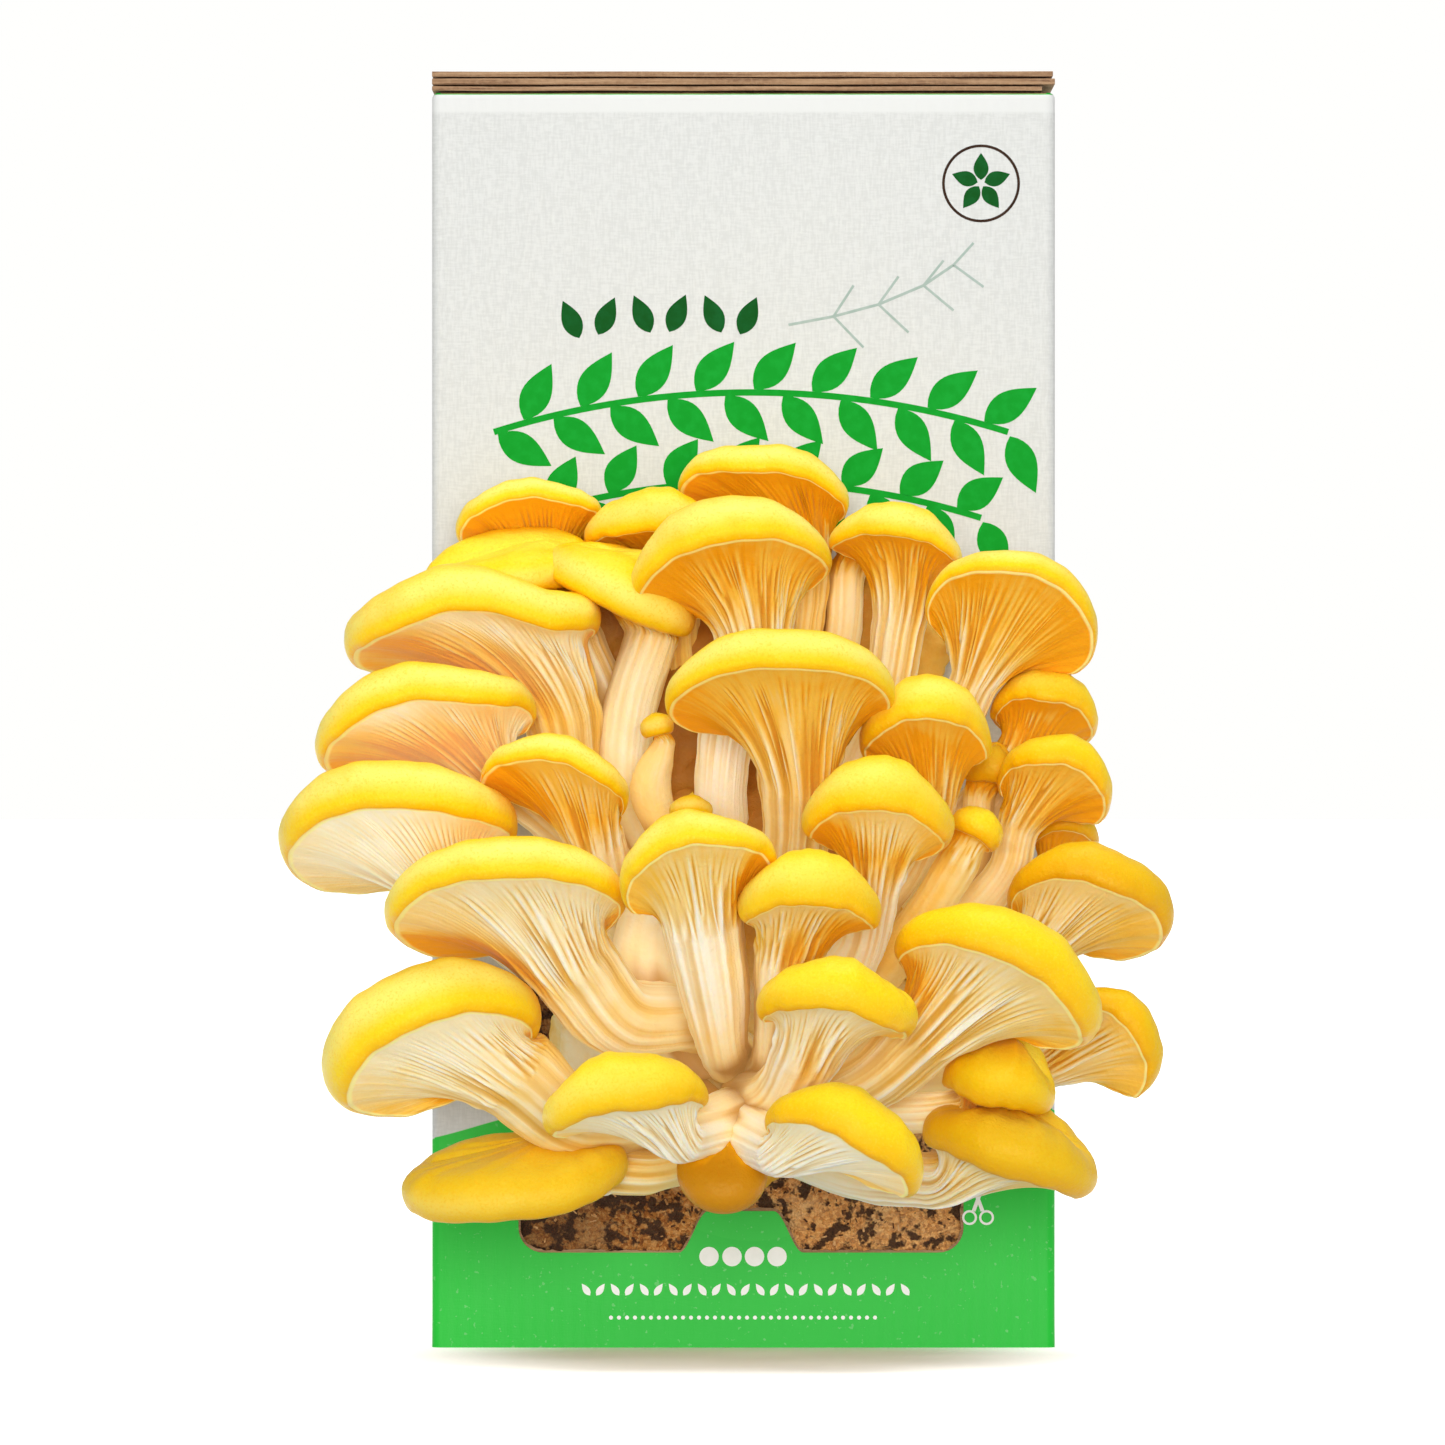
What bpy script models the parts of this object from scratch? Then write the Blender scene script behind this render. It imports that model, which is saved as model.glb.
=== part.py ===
"""Oyster mushroom grow kit: a printed carton with its window opened, the sawdust block in it, and the
cluster of golden oysters that has grown out of the window and up the front.

The carton stands on z = 0 with its front towards -Y. Sizes are in millimetres until they are put in a mesh.
A place on the cluster is given as (x, forward, z): x and z as they are read off the front panel by someone
who stands VIEW_DISTANCE in front of it, and forward as the distance out from the panel.
"""

import math

import bmesh
import bpy
import numpy as np
from mathutils import Vector

MM = 0.001

# Carton
WIDTH = 124.6
DEPTH = 95.0
WALL_HEIGHT = 251.0
BOARD = 1.4
CLEARANCE = 0.35
MUSHROOM_GAP = 0.5
FRONT = -DEPTH / 2

# Window and the tongue that stands up in it
WINDOW_LEFT, WINDOW_RIGHT = -45.0, 44.0
WINDOW_BOTTOM, WINDOW_TOP = 19.0, 80.0
WINDOW_CORNER = 5.0
TONGUE_CENTRE = -0.5
TONGUE_BASE, TONGUE_TIP = 12.5, 6.5
TONGUE_HEIGHT = 8.3

# Top closure: three plies of board, lowest first, as (bottom, top)
FLAPS = {
    "top_flap_lower": (251.35, 252.2),
    "top_flap_middle": (252.6, 253.8),
    "top_flap_upper": (254.15, 255.2),
}
FLAP_SHORT = {"top_flap_lower": 2.6, "top_flap_middle": 0.0, "top_flap_upper": 0.4}

# Substrate block, just behind the front panel
BLOCK_TOP = 236.0
BLOCK_RECESS = 1.2
BLOCK_ROUND = 6.0

# Where the cluster's places are read from
VIEW_DISTANCE = 2408.0
VIEW_X, VIEW_Z = -4.2, 125.0

# The fused base, as ellipsoids: (x, forward, z), half sizes
BASE_LUMPS = (
    ((0, 4, 52), (36, 25, 18)),
    ((0, 16, 82), (34, 15, 30)),
    ((-17, 20, 62), (20, 16, 20)),
    ((17, 20, 60), (20, 16, 20)),
    ((-3, 9, 112), (37, 8, 38)),
    ((-3, 7, 138), (44, 6, 22)),
)

# Shape of every cap, as shares of its thickness: how far the margin stands out past the gills, how far up it
# is widest, and how far in its round shoulder ends
MARGIN_BULGE = 0.2
MARGIN_WIDEST = 0.4
SHOULDER = 0.55
FOOT_ROUND = 0.08
STEM_STEPS = 32

COLOURS = {
    "white_board": (0.83, 0.835, 0.79),
    "kraft_edge": (0.29, 0.13, 0.07),
    "sawdust": (0.37, 0.19, 0.07),
    "flesh": (0.93, 0.78, 0.45),
    "golden_cap": (0.95, 0.68, 0.05),
}


def mushroom(centre, half, reach, tilt, roll, thick, stem, turn=0.0, droop=1.0, dip=0.0, wave=0.6, side=0.5,
             dome=0.65):
    """One mushroom. centre is the middle of the cap's margin, half its half width, reach its half depths
    towards the front and the back, tilt how far its front is raised, roll how far its right side is raised,
    and thick the height of the margin. stem lists (x, forward, z, radius) from the foot to the neck. droop
    lowers the two sides of the margin and dip its front right, wave is how far it undulates, side how thick
    its two sides are and dome how high the middle of its top is, both as a share of thick."""
    return {
        "centre": centre, "half": half, "reach": reach, "tilt": tilt, "roll": roll, "turn": turn,
        "thick": thick, "stem": stem, "droop": droop, "dip": dip, "wave": wave, "side": side, "dome": dome,
    }


# From the front of the cluster to its back: where two would meet, the later one gives way.
MUSHROOMS = {
    "mushroom_low_centre": mushroom(
        (18.5, 88, 66), 14.4, (11, 10), 8, -8, 11.0,
        [(0, 26, 50, 6), (4, 52, 50, 5.5), (8.5, 70, 52, 6), (12.5, 79, 59, 6.8)], droop=2.0, side=0.75),
    "mushroom_bottom_right": mushroom(
        (19.2, 88, 38.3), 15.6, (12, 9), 17, -26, 12.5,
        [(0, 28, 46, 6), (2, 62, 43, 6), (8, 79, 39.5, 5.6)]),
    "mushroom_bottom_left": mushroom(
        (-23.3, 84, 46.4), 15.4, (11, 10), 7, 11, 12.5,
        [(1, 26, 48, 6), (-4, 60, 45, 6), (-13, 76, 42.5, 5.6)]),
    "mushroom_centre_left": mushroom(
        (-9, 84, 93.3), 14.8, (13, 11), 33, 12.6, 10.0,
        [(-2, 24, 58, 6), (-3.5, 46, 60, 5.5), (-4.6, 64, 63, 5.6), (-6, 71, 72, 6.8), (-8, 75, 84, 8.0)]),
    "mushroom_centre_right": mushroom(
        (13.2, 82, 85.5), 12.8, (12, 11), 14, -2, 12.5,
        [(3, 26, 56, 5), (6.2, 56, 58, 4.3), (7.2, 68, 67, 4.9), (8.8, 74, 77, 6.3)], side=0.7),
    "mushroom_right_large": mushroom(
        (49.8, 78, 70.3), 20.0, (15, 12), 28, -26, 13.5,
        [(6, 28, 52, 6.5), (18, 48, 52, 6.5), (28, 62, 56, 7.0), (36, 69, 63, 7.8)], side=0.7),
    "mushroom_left_large": mushroom(
        (-47.3, 74, 86.8), 22.6, (17, 19), 27, 5.5, 11.0,
        [(-3, 28, 62, 6), (-13, 48, 66, 6.5), (-25.5, 60, 66.5, 8.0), (-33.5, 65, 76, 8.8)], dip=1.5,
        side=0.7),
    "mushroom_low_left": mushroom(
        (-60.8, 72, 56.3), 19.6, (16, 14), 32, 22, 16.5,
        [(-6, 26, 48, 6.5), (-20, 44, 47, 7), (-35, 57, 46.5, 8), (-46, 63, 55, 9.2)], droop=0.2,
        side=0.95),
    "mushroom_egg": mushroom(
        (-4.1, 66, 34.0), 7.6, (7.5, 7), -60, 0, 7.0,
        [(-1, 32, 44, 5), (-3, 58, 37, 3.6)], droop=0.0, wave=0.0, side=1.0, dome=1.0),
    "mushroom_right_centre": mushroom(
        (26.8, 68, 102.4), 13.4, (12, 11), 24, -5, 13.5,
        [(14, 32, 66, 6), (23.5, 52, 80, 4.6), (26, 61, 92, 5.2)], side=0.7),
    "mushroom_low_right_top": mushroom(
        (50.5, 60, 51), 10.4, (9, 8), -15, -15, 12.5,
        [(14, 30, 48, 5), (34, 50, 47, 4), (44, 55, 48, 4)], dome=1.05),
    "mushroom_middle_large": mushroom(
        (7.2, 60, 128.7), 22.0, (17, 15), 25, 2, 10.5,
        [(7, 22, 84, 7), (9, 32, 94, 6.5), (10.5, 44, 104, 6.6), (11, 52, 114, 7.8)], wave=0.35),
    "button_middle": mushroom(
        (-10.4, 62, 107.2), 3.8, (3.5, 3.2), 0, 0, 3.6,
        [(-8, 36, 88, 3.5), (-9.5, 58, 101, 2.6), (-10, 61, 105, 2.3)], wave=0.1, side=1.0, dome=1.1),
    "mushroom_drooping_right": mushroom(
        (53, 58, 37.8), 16.4, (12, 11), -14, -19, 10.4,
        [(6, 30, 42, 6), (24, 45, 35, 5.5), (38, 51, 33.5, 5.6)], droop=2.0, side=0.8, dome=1.1),
    "mushroom_left_inner": mushroom(
        (-38, 54, 111.2), 14.4, (13, 11), 26, -12, 7.0,
        [(-20, 26, 78, 6.5), (-27, 38, 90, 5.6), (-29.5, 47, 101, 5.8)]),
    "mushroom_drooping_left": mushroom(
        (-45.5, 54, 31.6), 21.4, (13, 11), -25, 8, 8.5,
        [(-6, 28, 42, 6), (-18, 43, 36, 5), (-27, 47, 36, 5)], droop=0.2, wave=0.5, side=0.9, dome=1.1),
    "mushroom_left_low": mushroom(
        (-69, 52, 101), 22.2, (17, 22), 27, 7, 13.0,
        [(-25, 22, 70, 7), (-42, 34, 80, 6.5), (-57, 43, 91, 6.8)], dip=3.0, side=0.7),
    "mushroom_right_inner": mushroom(
        (36.4, 50, 119.6), 12.2, (12, 10), 30, 0, 12.0,
        [(20, 24, 84, 6), (32, 34, 98, 5), (37, 43, 109, 5)]),
    "stem_bulb": mushroom(
        (-17, 46, 95.5), 6.0, (5.5, 5), 0, 0, 4.5,
        [(-6, 30, 56, 6), (-16, 41, 68, 7.0), (-19.4, 46, 79, 7.0), (-17.5, 46, 91, 5.2)], wave=0.1,
        side=0.8),
    "button_long_stem": mushroom(
        (-17, 48, 122.6), 2.6, (2.6, 2.4), 0, 12, 4.4,
        [(-10, 30, 92, 4), (-15.5, 41, 103, 3.2), (-18.4, 44, 112, 4.2), (-15.8, 46, 121, 2.3)], wave=0.0,
        droop=0.1, side=1.0),
    "mushroom_right_slim": mushroom(
        (45.6, 50, 101.6), 4.3, (4.4, 4), 10, -30, 6.4,
        [(24, 32, 70, 4), (36, 45, 86, 4.2), (42.6, 48, 96.5, 4.3)], wave=0.1, droop=0.2, side=0.95,
        dome=1.0),
    "mushroom_low_right_outer": mushroom(
        (71.2, 48, 59.8), 12.0, (10, 8), 40, -45, 9.0,
        [(24, 24, 52, 6), (48, 34, 54, 4.6), (62, 42, 57, 4.6)]),
    "mushroom_right_outer": mushroom(
        (68.9, 44, 86.3), 15.4, (12, 14), 33, -14, 12.0,
        [(28, 24, 62, 6), (45, 32, 70, 5), (57, 38, 79, 5.2)]),
    "mushroom_left_high": mushroom(
        (-63.2, 42, 122.3), 21.2, (16, 13), 27, 12.8, 10.2,
        [(-22, 18, 90, 6), (-36, 28, 104, 5.4), (-49, 35, 115, 5.8)], dip=2.0, side=0.65),
    "mushroom_right_curved": mushroom(
        (62, 38, 110.6), 10.8, (10, 8), 38, -16, 9.5,
        [(32, 24, 74, 5), (51, 31, 93, 4), (55, 34, 104, 4.3)]),
    "mushroom_upper_middle": mushroom(
        (-2.2, 36, 153.3), 19.2, (16, 13), 28, 9.8, 12.5,
        [(-4, 18, 98, 6), (-4.5, 28, 112, 5), (-3, 28, 124, 5.5), (1, 30, 138, 7)]),
    "mushroom_upper_right": mushroom(
        (53.5, 36, 144.3), 17.0, (15, 12), 45, -17, 8.0,
        [(22, 18, 98, 5), (40, 26, 120, 4.4), (46, 30, 133, 5.0)]),
    "mushroom_upper_left": mushroom(
        (-54, 34, 141.6), 24.2, (16, 14), 22, 8.5, 11.5,
        [(-20, 16, 95, 6), (-33, 24, 113, 6.4), (-36.5, 28, 127, 8.0)], dip=5.0, side=0.75),
    "mushroom_right_hidden": mushroom(
        (49.5, 30, 114), 5.2, (5, 4.5), -10, -10, 6.6,
        [(34, 20, 74, 4), (45, 27, 92, 3.4), (47, 29, 109.5, 3.2)], wave=0.2),
    "mushroom_tilted": mushroom(
        (-25.5, 27, 149), 15.0, (11, 10), -10, -25, 10.0,
        [(-18, 18, 98, 5), (-23.6, 26, 111, 4.9), (-22.8, 26, 127, 5.2), (-18.6, 23, 141, 5.4)],
        droop=0.3, wave=0.2, side=0.7, dome=1.2),
    "mushroom_right_high": mushroom(
        (60.3, 27, 125.2), 9.8, (9, 8), 30, -11, 8.5,
        [(26, 16, 88, 5), (44, 22, 104, 5), (53.5, 24, 115, 5.5)]),
    "mushroom_upper_right_inner": mushroom(
        (30.3, 28, 159.2), 12.8, (11, 10), 15, -8, 8.0,
        [(16, 16, 102, 5), (27, 21, 125, 4.8), (31, 24, 145, 5.4)], wave=0.5),
    "mushroom_upper_left_back": mushroom(
        (-46, 22, 154.8), 17.2, (11, 10), -22, 5, 7.0,
        [(-22, 16, 98, 5), (-26, 17, 124, 4.6), (-34, 19, 144, 5)], wave=0.3, dome=0.95),
    "mushroom_right_small": mushroom(
        (64.2, 24, 101.4), 6.0, (6, 5), 20, -2, 6.4,
        [(32, 16, 78, 5), (50, 20, 86, 3.4), (59, 21, 92, 3.6)], wave=0.2),
    "mushroom_top_centre_left": mushroom(
        (-17, 17, 161.5), 13.8, (10, 9), 8, 0, 9.5,
        [(-8, 8, 104, 5), (-12, 9, 126, 4.4), (-14, 13, 150, 4.8)]),
    "mushroom_top_middle": mushroom(
        (4, 16, 170), 16.6, (12, 10), 25, -8, 7.4,
        [(6, 16, 104, 5), (9.5, 15, 130, 4.2), (12, 14, 146, 4.4), (12.5, 13, 157, 5)]),
    "mushroom_top_left": mushroom(
        (-42.6, 14, 164.4), 14.2, (10, 9), 32, 5, 6.0,
        [(-18, 13, 100, 4.5), (-33, 11, 128, 4.2), (-39, 11, 150, 4.8)]),
    "mushroom_back_slim": mushroom(
        (25, 10, 160), 6.4, (6, 5.5), 5, 0, 5.0,
        [(14, 16, 108, 4), (19.5, 14, 140, 3.5), (20.5, 11, 153, 3.6)], wave=0.2),
}

# Rings of a mushroom's mesh: up the stem, under the cap, round its margin and over its top
STATIONS = (FOOT_ROUND, 0.5, 1.0, 1.6, 2.0, 2.5, 2.85, 3.45)
SIDES, SMALL_SIDES = 10, 8
SMALL_HALF = 7.0


def seen_at(x, forward, z):
    """The point this far in front of the panel that is seen in line with (x, z) on the panel."""
    shrink = 1 - forward / VIEW_DISTANCE
    return np.array([
        VIEW_X + (x - VIEW_X) * shrink,
        FRONT - forward,
        VIEW_Z + (z - VIEW_Z) * shrink,
    ])


def unit(vector):
    return vector / np.linalg.norm(vector)


def cap_axes(spec):
    """The cap's own axes: to its right, to its back, and out of its top."""
    tilt, roll, turn = (math.radians(spec[key]) for key in ("tilt", "roll", "turn"))
    right = np.array([math.cos(roll) * math.cos(turn), math.cos(roll) * math.sin(turn), math.sin(roll)])
    level_back = unit(np.cross(np.array([0.0, 0.0, 1.0]), right))
    upright = np.cross(right, level_back)
    back = level_back * math.cos(tilt) - upright * math.sin(tilt)
    return right, back, np.cross(right, back)


def spline(points, share):
    """A smooth curve through the points, which are rows of numbers, at a share of its length."""
    spans = len(points) - 1
    place = min(share * spans, spans - 1e-9)
    index = int(place)
    t = place - index
    before = points[index - 1] if index else 2 * points[0] - points[1]
    after = points[index + 2] if index + 2 <= spans else 2 * points[-1] - points[-2]
    start, end = points[index], points[index + 1]
    return start + 0.5 * t * (end - before + t * (
        2 * before - 5 * start + 4 * end - after + t * (3 * (start - end) + after - before)))


def stem_frames(spec, right):
    """Centres, radii and the two cross axes along the stem, foot first, with no twist along it."""
    points = np.array([(*seen_at(*row[:3]), row[3]) for row in spec["stem"]])
    rows = np.array([spline(points, step / STEM_STEPS) for step in range(STEM_STEPS + 1)])
    centres, radii = rows[:, :3], rows[:, 3]
    tangents = np.gradient(centres, axis=0)
    across = right
    frames = []
    for centre, radius, tangent in zip(centres[::-1], radii[::-1], tangents[::-1]):
        along = unit(tangent)
        across = unit(across - along * across.dot(along))
        frames.append((centre, radius, across, np.cross(along, across), along))
    return frames[::-1]


def mushroom_ring(spec, axes, frames, station, angles):
    """Points round the mushroom at a station: 0 to 1 up the stem, 1 to 2 under the cap, 2 to 3 round the
    margin and 3 to 4 over the top."""
    cos, sin = np.cos(angles)[:, None], np.sin(angles)[:, None]
    right, back, up = axes
    if station <= 1:
        place = station * STEM_STEPS
        low = frames[int(place)]
        high = frames[min(int(place) + 1, STEM_STEPS)]
        centre, radius, across, over, _ = (a + (b - a) * (place % 1) for a, b in zip(low, high))
        if station < FOOT_ROUND:
            radius *= math.sqrt(1 - (1 - station / FOOT_ROUND) ** 2)
        return centre + radius * (cos * across + sin * over)

    shrink = 1 - spec["centre"][1] / VIEW_DISTANCE
    middle = seen_at(*spec["centre"])
    half, thick = spec["half"] * shrink, spec["thick"]
    near, far = spec["reach"]
    depth = np.where(sin < 0, near, far)
    ripple = spec["wave"] * (np.sin(3 * angles + half) + np.sin(5 * angles + 2 * half))[:, None] / 2
    low_right = spec["dip"] * np.clip((cos - sin) / math.sqrt(2), 0, 1) ** 6
    rim = middle + half * cos * right + depth * sin * back
    rim = rim + (ripple - spec["droop"] * cos ** 2 - low_right) * up
    outward = depth * cos * right + half * sin * back
    outward /= np.linalg.norm(outward, axis=1)[:, None]
    neck, neck_radius, across, over, along = frames[-1]
    under = neck + up * (middle - neck).dot(up)

    if station <= 2:
        t = station - 1
        start = neck + neck_radius * (cos * across + sin * over)
        rise = max((middle - neck).dot(up), 2.0)
        lower = start + along * rise * 0.55
        upper = rim + 0.42 * (under - rim)
        neck_part = start * (1 - t) ** 3 + 3 * lower * t * (1 - t) ** 2
        return neck_part + 3 * upper * t ** 2 * (1 - t) + rim * t ** 3

    turn = math.pi * (min(station, 3) - 2.5)
    thick = thick * (spec["side"] + (1 - spec["side"]) * np.abs(sin) ** 1.2)
    bulge, widest = MARGIN_BULGE * thick, MARGIN_WIDEST * thick
    if turn < 0:
        out, height = bulge * math.cos(turn), widest * (1 + math.sin(turn))
    else:
        out = bulge - (bulge + SHOULDER * thick) * (1 - math.cos(turn))
        height = widest + (thick - widest) * math.sin(turn)
    edge = rim + out * outward + height * up
    if station <= 3:
        return edge
    t = station - 3
    hollow = middle + 0.5 * (under - middle) + spec["dome"] * spec["thick"] * up
    shoulder = edge + t * (hollow - edge)
    flat = up * ((edge - hollow).dot(up))[:, None]
    return shoulder + flat * (t - t * t * (3 - 2 * t))


def mushroom_mesh(name, spec):
    """A closed skin: a ball whose rows are moved to the mushroom's rings."""
    sides = SMALL_SIDES if spec["half"] < SMALL_HALF else SIDES
    rows = len(STATIONS) + 1
    body = bmesh.new()
    bmesh.ops.create_uvsphere(body, u_segments=sides, v_segments=rows, radius=1)
    axes = cap_axes(spec)
    frames = stem_frames(spec, axes[0])
    stations = (0.0, *STATIONS, 4.0)
    for vert in body.verts:
        row = round(math.acos(max(-1, min(1, -vert.co.z))) * rows / math.pi)
        angle = np.array([math.atan2(vert.co.y, vert.co.x)])
        vert.co = Vector(mushroom_ring(spec, axes, frames, stations[row], angle)[0]) * MM
    bmesh.ops.recalc_face_normals(body, faces=body.faces)
    bmesh.ops.triangulate(body, faces=body.faces)
    mesh = bpy.data.meshes.new(name)
    body.to_mesh(mesh)
    body.free()
    return mesh


def material(name, colour, roughness):
    made = bpy.data.materials.new(name)
    made.use_nodes = True
    shader = made.node_tree.nodes["Principled BSDF"]
    shader.inputs["Base Color"].default_value = (*colour, 1)
    shader.inputs["Roughness"].default_value = roughness
    shader.inputs["Metallic"].default_value = 0
    return made


def add_object(name, mesh, collection, colour=None, roughness=0.6):
    made = bpy.data.objects.new(name, mesh)
    collection.objects.link(made)
    if colour:
        mesh.materials.clear()
        mesh.materials.append(material(name, COLOURS[colour], roughness))
    return made


def box_mesh(name, low, high, bevel=0.0):
    low, high = Vector(low) * MM, Vector(high) * MM
    body = bmesh.new()
    bmesh.ops.create_cube(body, size=1)
    bmesh.ops.scale(body, vec=high - low, verts=body.verts)
    bmesh.ops.translate(body, vec=(low + high) / 2, verts=body.verts)
    if bevel:
        bmesh.ops.bevel(
            body, geom=body.edges, offset=bevel * MM, segments=2, profile=0.5, affect="EDGES", material=-1)
    mesh = bpy.data.meshes.new(name)
    body.to_mesh(mesh)
    body.free()
    return mesh


def arc(centre, radius, start, end, steps=4):
    return [
        (centre[0] + radius * math.cos(math.radians(start + (end - start) * step / steps)),
         centre[1] + radius * math.sin(math.radians(start + (end - start) * step / steps)))
        for step in range(steps + 1)
    ]


def window_outline(shrink=0.0):
    """The window seen from the front, as (x, z), anticlockwise from its lower left corner."""
    left, right = WINDOW_LEFT + shrink, WINDOW_RIGHT - shrink
    bottom, top = WINDOW_BOTTOM + shrink, WINDOW_TOP - shrink
    r = WINDOW_CORNER
    steps = 6
    turns = [math.pi * i / steps for i in range(steps + 1)]
    rise = [(turn, TONGUE_HEIGHT * (1 - math.cos(turn)) / 2) for turn in turns]
    run = TONGUE_BASE - TONGUE_TIP + shrink
    up = [(TONGUE_CENTRE - TONGUE_BASE - shrink + run * turn / math.pi, bottom + z) for turn, z in rise]
    down = [(2 * TONGUE_CENTRE - x, z) for x, z in reversed(up)]
    return (
        arc((left + r, bottom + r), r, 180, 270) + up + down
        + arc((right - r, bottom + r), r, 270, 360)
        + arc((right - r, top - r), r, 0, 90)
        + arc((left + r, top - r), r, 90, 180)
    )


def outline_mesh(name, outline, y_low, y_high):
    """A flat outline in (x, z), made solid from y_low to y_high."""
    curve = bpy.data.curves.new(name, "CURVE")
    curve.dimensions = "2D"
    curve.fill_mode = "BOTH"
    curve.extrude = (y_high - y_low) / 2 * MM
    spline_points = curve.splines.new("POLY")
    spline_points.points.add(len(outline) - 1)
    for point, (x, z) in zip(spline_points.points, outline):
        point.co = (x * MM, z * MM, 0, 1)
    spline_points.use_cyclic_u = True
    guide = bpy.data.objects.new(name, curve)
    bpy.context.scene.collection.objects.link(guide)
    bpy.context.view_layer.update()
    mesh = bpy.data.meshes.new_from_object(guide.evaluated_get(bpy.context.evaluated_depsgraph_get()))
    bpy.data.objects.remove(guide)
    bpy.data.curves.remove(curve)
    body = bmesh.new()
    body.from_mesh(mesh)
    bmesh.ops.remove_doubles(body, verts=body.verts, dist=1e-6)
    for vert in body.verts:
        x, z, y = vert.co
        vert.co = (x, y + (y_low + y_high) / 2 * MM, z)
    bmesh.ops.recalc_face_normals(body, faces=body.faces)
    if body.calc_volume(signed=True) < 0:
        bmesh.ops.reverse_faces(body, faces=body.faces)
    body.to_mesh(mesh)
    body.free()
    mesh.name = name
    return mesh


def swollen(mesh, amount):
    """A copy of a mesh grown outwards along its normals."""
    body = bmesh.new()
    body.from_mesh(mesh)
    body.normal_update()
    for vert in body.verts:
        vert.co += vert.normal * amount * MM
    grown = bpy.data.meshes.new(mesh.name + "_room")
    body.to_mesh(grown)
    body.free()
    return grown


def box_of(mesh):
    points = np.array([vert.co for vert in mesh.vertices])
    return points.min(axis=0), points.max(axis=0)


def meet(first, second):
    (low_a, high_a), (low_b, high_b) = box_of(first), box_of(second)
    return bool((low_a < high_b).all() and (low_b < high_a).all())


def combined(mesh, others, operation, cutters):
    """The mesh after a Boolean with each of the other meshes, and only its largest piece."""
    work = bpy.data.objects.new("work", mesh)
    cutters.objects.link(work)
    tools = []
    for other in others:
        tool = bpy.data.objects.new("tool", other)
        cutters.objects.link(tool)
        tools.append(tool)
        boolean = work.modifiers.new("meet", "BOOLEAN")
        boolean.operation = operation
        boolean.solver = "MANIFOLD"
        boolean.object = tool
    bpy.context.view_layer.update()
    result = bpy.data.meshes.new_from_object(work.evaluated_get(bpy.context.evaluated_depsgraph_get()))
    for helper in (work, *tools):
        bpy.data.objects.remove(helper)
    return largest_piece(result, mesh.name)


def largest_piece(mesh, name):
    body = bmesh.new()
    body.from_mesh(mesh)
    bmesh.ops.remove_doubles(body, verts=body.verts, dist=5e-6)
    left = set(body.faces)
    pieces = []
    while left:
        piece, front = set(), {left.pop()}
        while front:
            face = front.pop()
            piece.add(face)
            for edge in face.edges:
                near = left.intersection(edge.link_faces)
                left -= near
                front |= near
        pieces.append(piece)
    if len(pieces) > 1:
        pieces.sort(key=lambda piece: sum(face.calc_area() for face in piece))
        spare = [face for piece in pieces[:-1] for face in piece]
        bmesh.ops.delete(body, geom=spare, context="FACES")
        loose = [vert for vert in body.verts if not vert.link_faces]
        bmesh.ops.delete(body, geom=loose, context="VERTS")
    made = bpy.data.meshes.new(name)
    body.to_mesh(made)
    body.free()
    return made


def build_carton(kit, cutters):
    half = WIDTH / 2
    walls = box_mesh("carton_sleeve", (-half, FRONT, 0), (half, -FRONT, WALL_HEIGHT))
    inside = box_mesh(
        "inside", (-half + BOARD, FRONT + BOARD, -1), (half - BOARD, -FRONT - BOARD, WALL_HEIGHT + 1))
    window = outline_mesh("window", window_outline(), FRONT - 1, FRONT + BOARD + 1)
    sleeve = combined(walls, [inside, window], "DIFFERENCE", cutters)
    sleeve.name = "carton_sleeve"
    add_object("carton_sleeve", sleeve, kit, "white_board", 0.55)

    inner_x, inner_y = half - BOARD - CLEARANCE, -FRONT - BOARD - CLEARANCE
    base = box_mesh("carton_base", (-inner_x, -inner_y, 0), (inner_x, inner_y, BOARD))
    add_object("carton_base", base, kit, "white_board", 0.7)

    for name, (low, high) in FLAPS.items():
        short = FLAP_SHORT[name]
        flap = box_mesh(name, (-half, FRONT + 0.2, low), (half - short, -FRONT - 0.2, high))
        add_object(name, flap, kit, "kraft_edge", 0.85)


def build_block(kit):
    inner_x, inner_y = WIDTH / 2 - BOARD - CLEARANCE, -FRONT - BOARD - CLEARANCE
    block = box_mesh(
        "substrate_block",
        (-inner_x, FRONT + BOARD + BLOCK_RECESS, BOARD + CLEARANCE), (inner_x, inner_y, BLOCK_TOP),
        BLOCK_ROUND)
    add_object("substrate_block", block, kit, "sawdust", 0.95)


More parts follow.
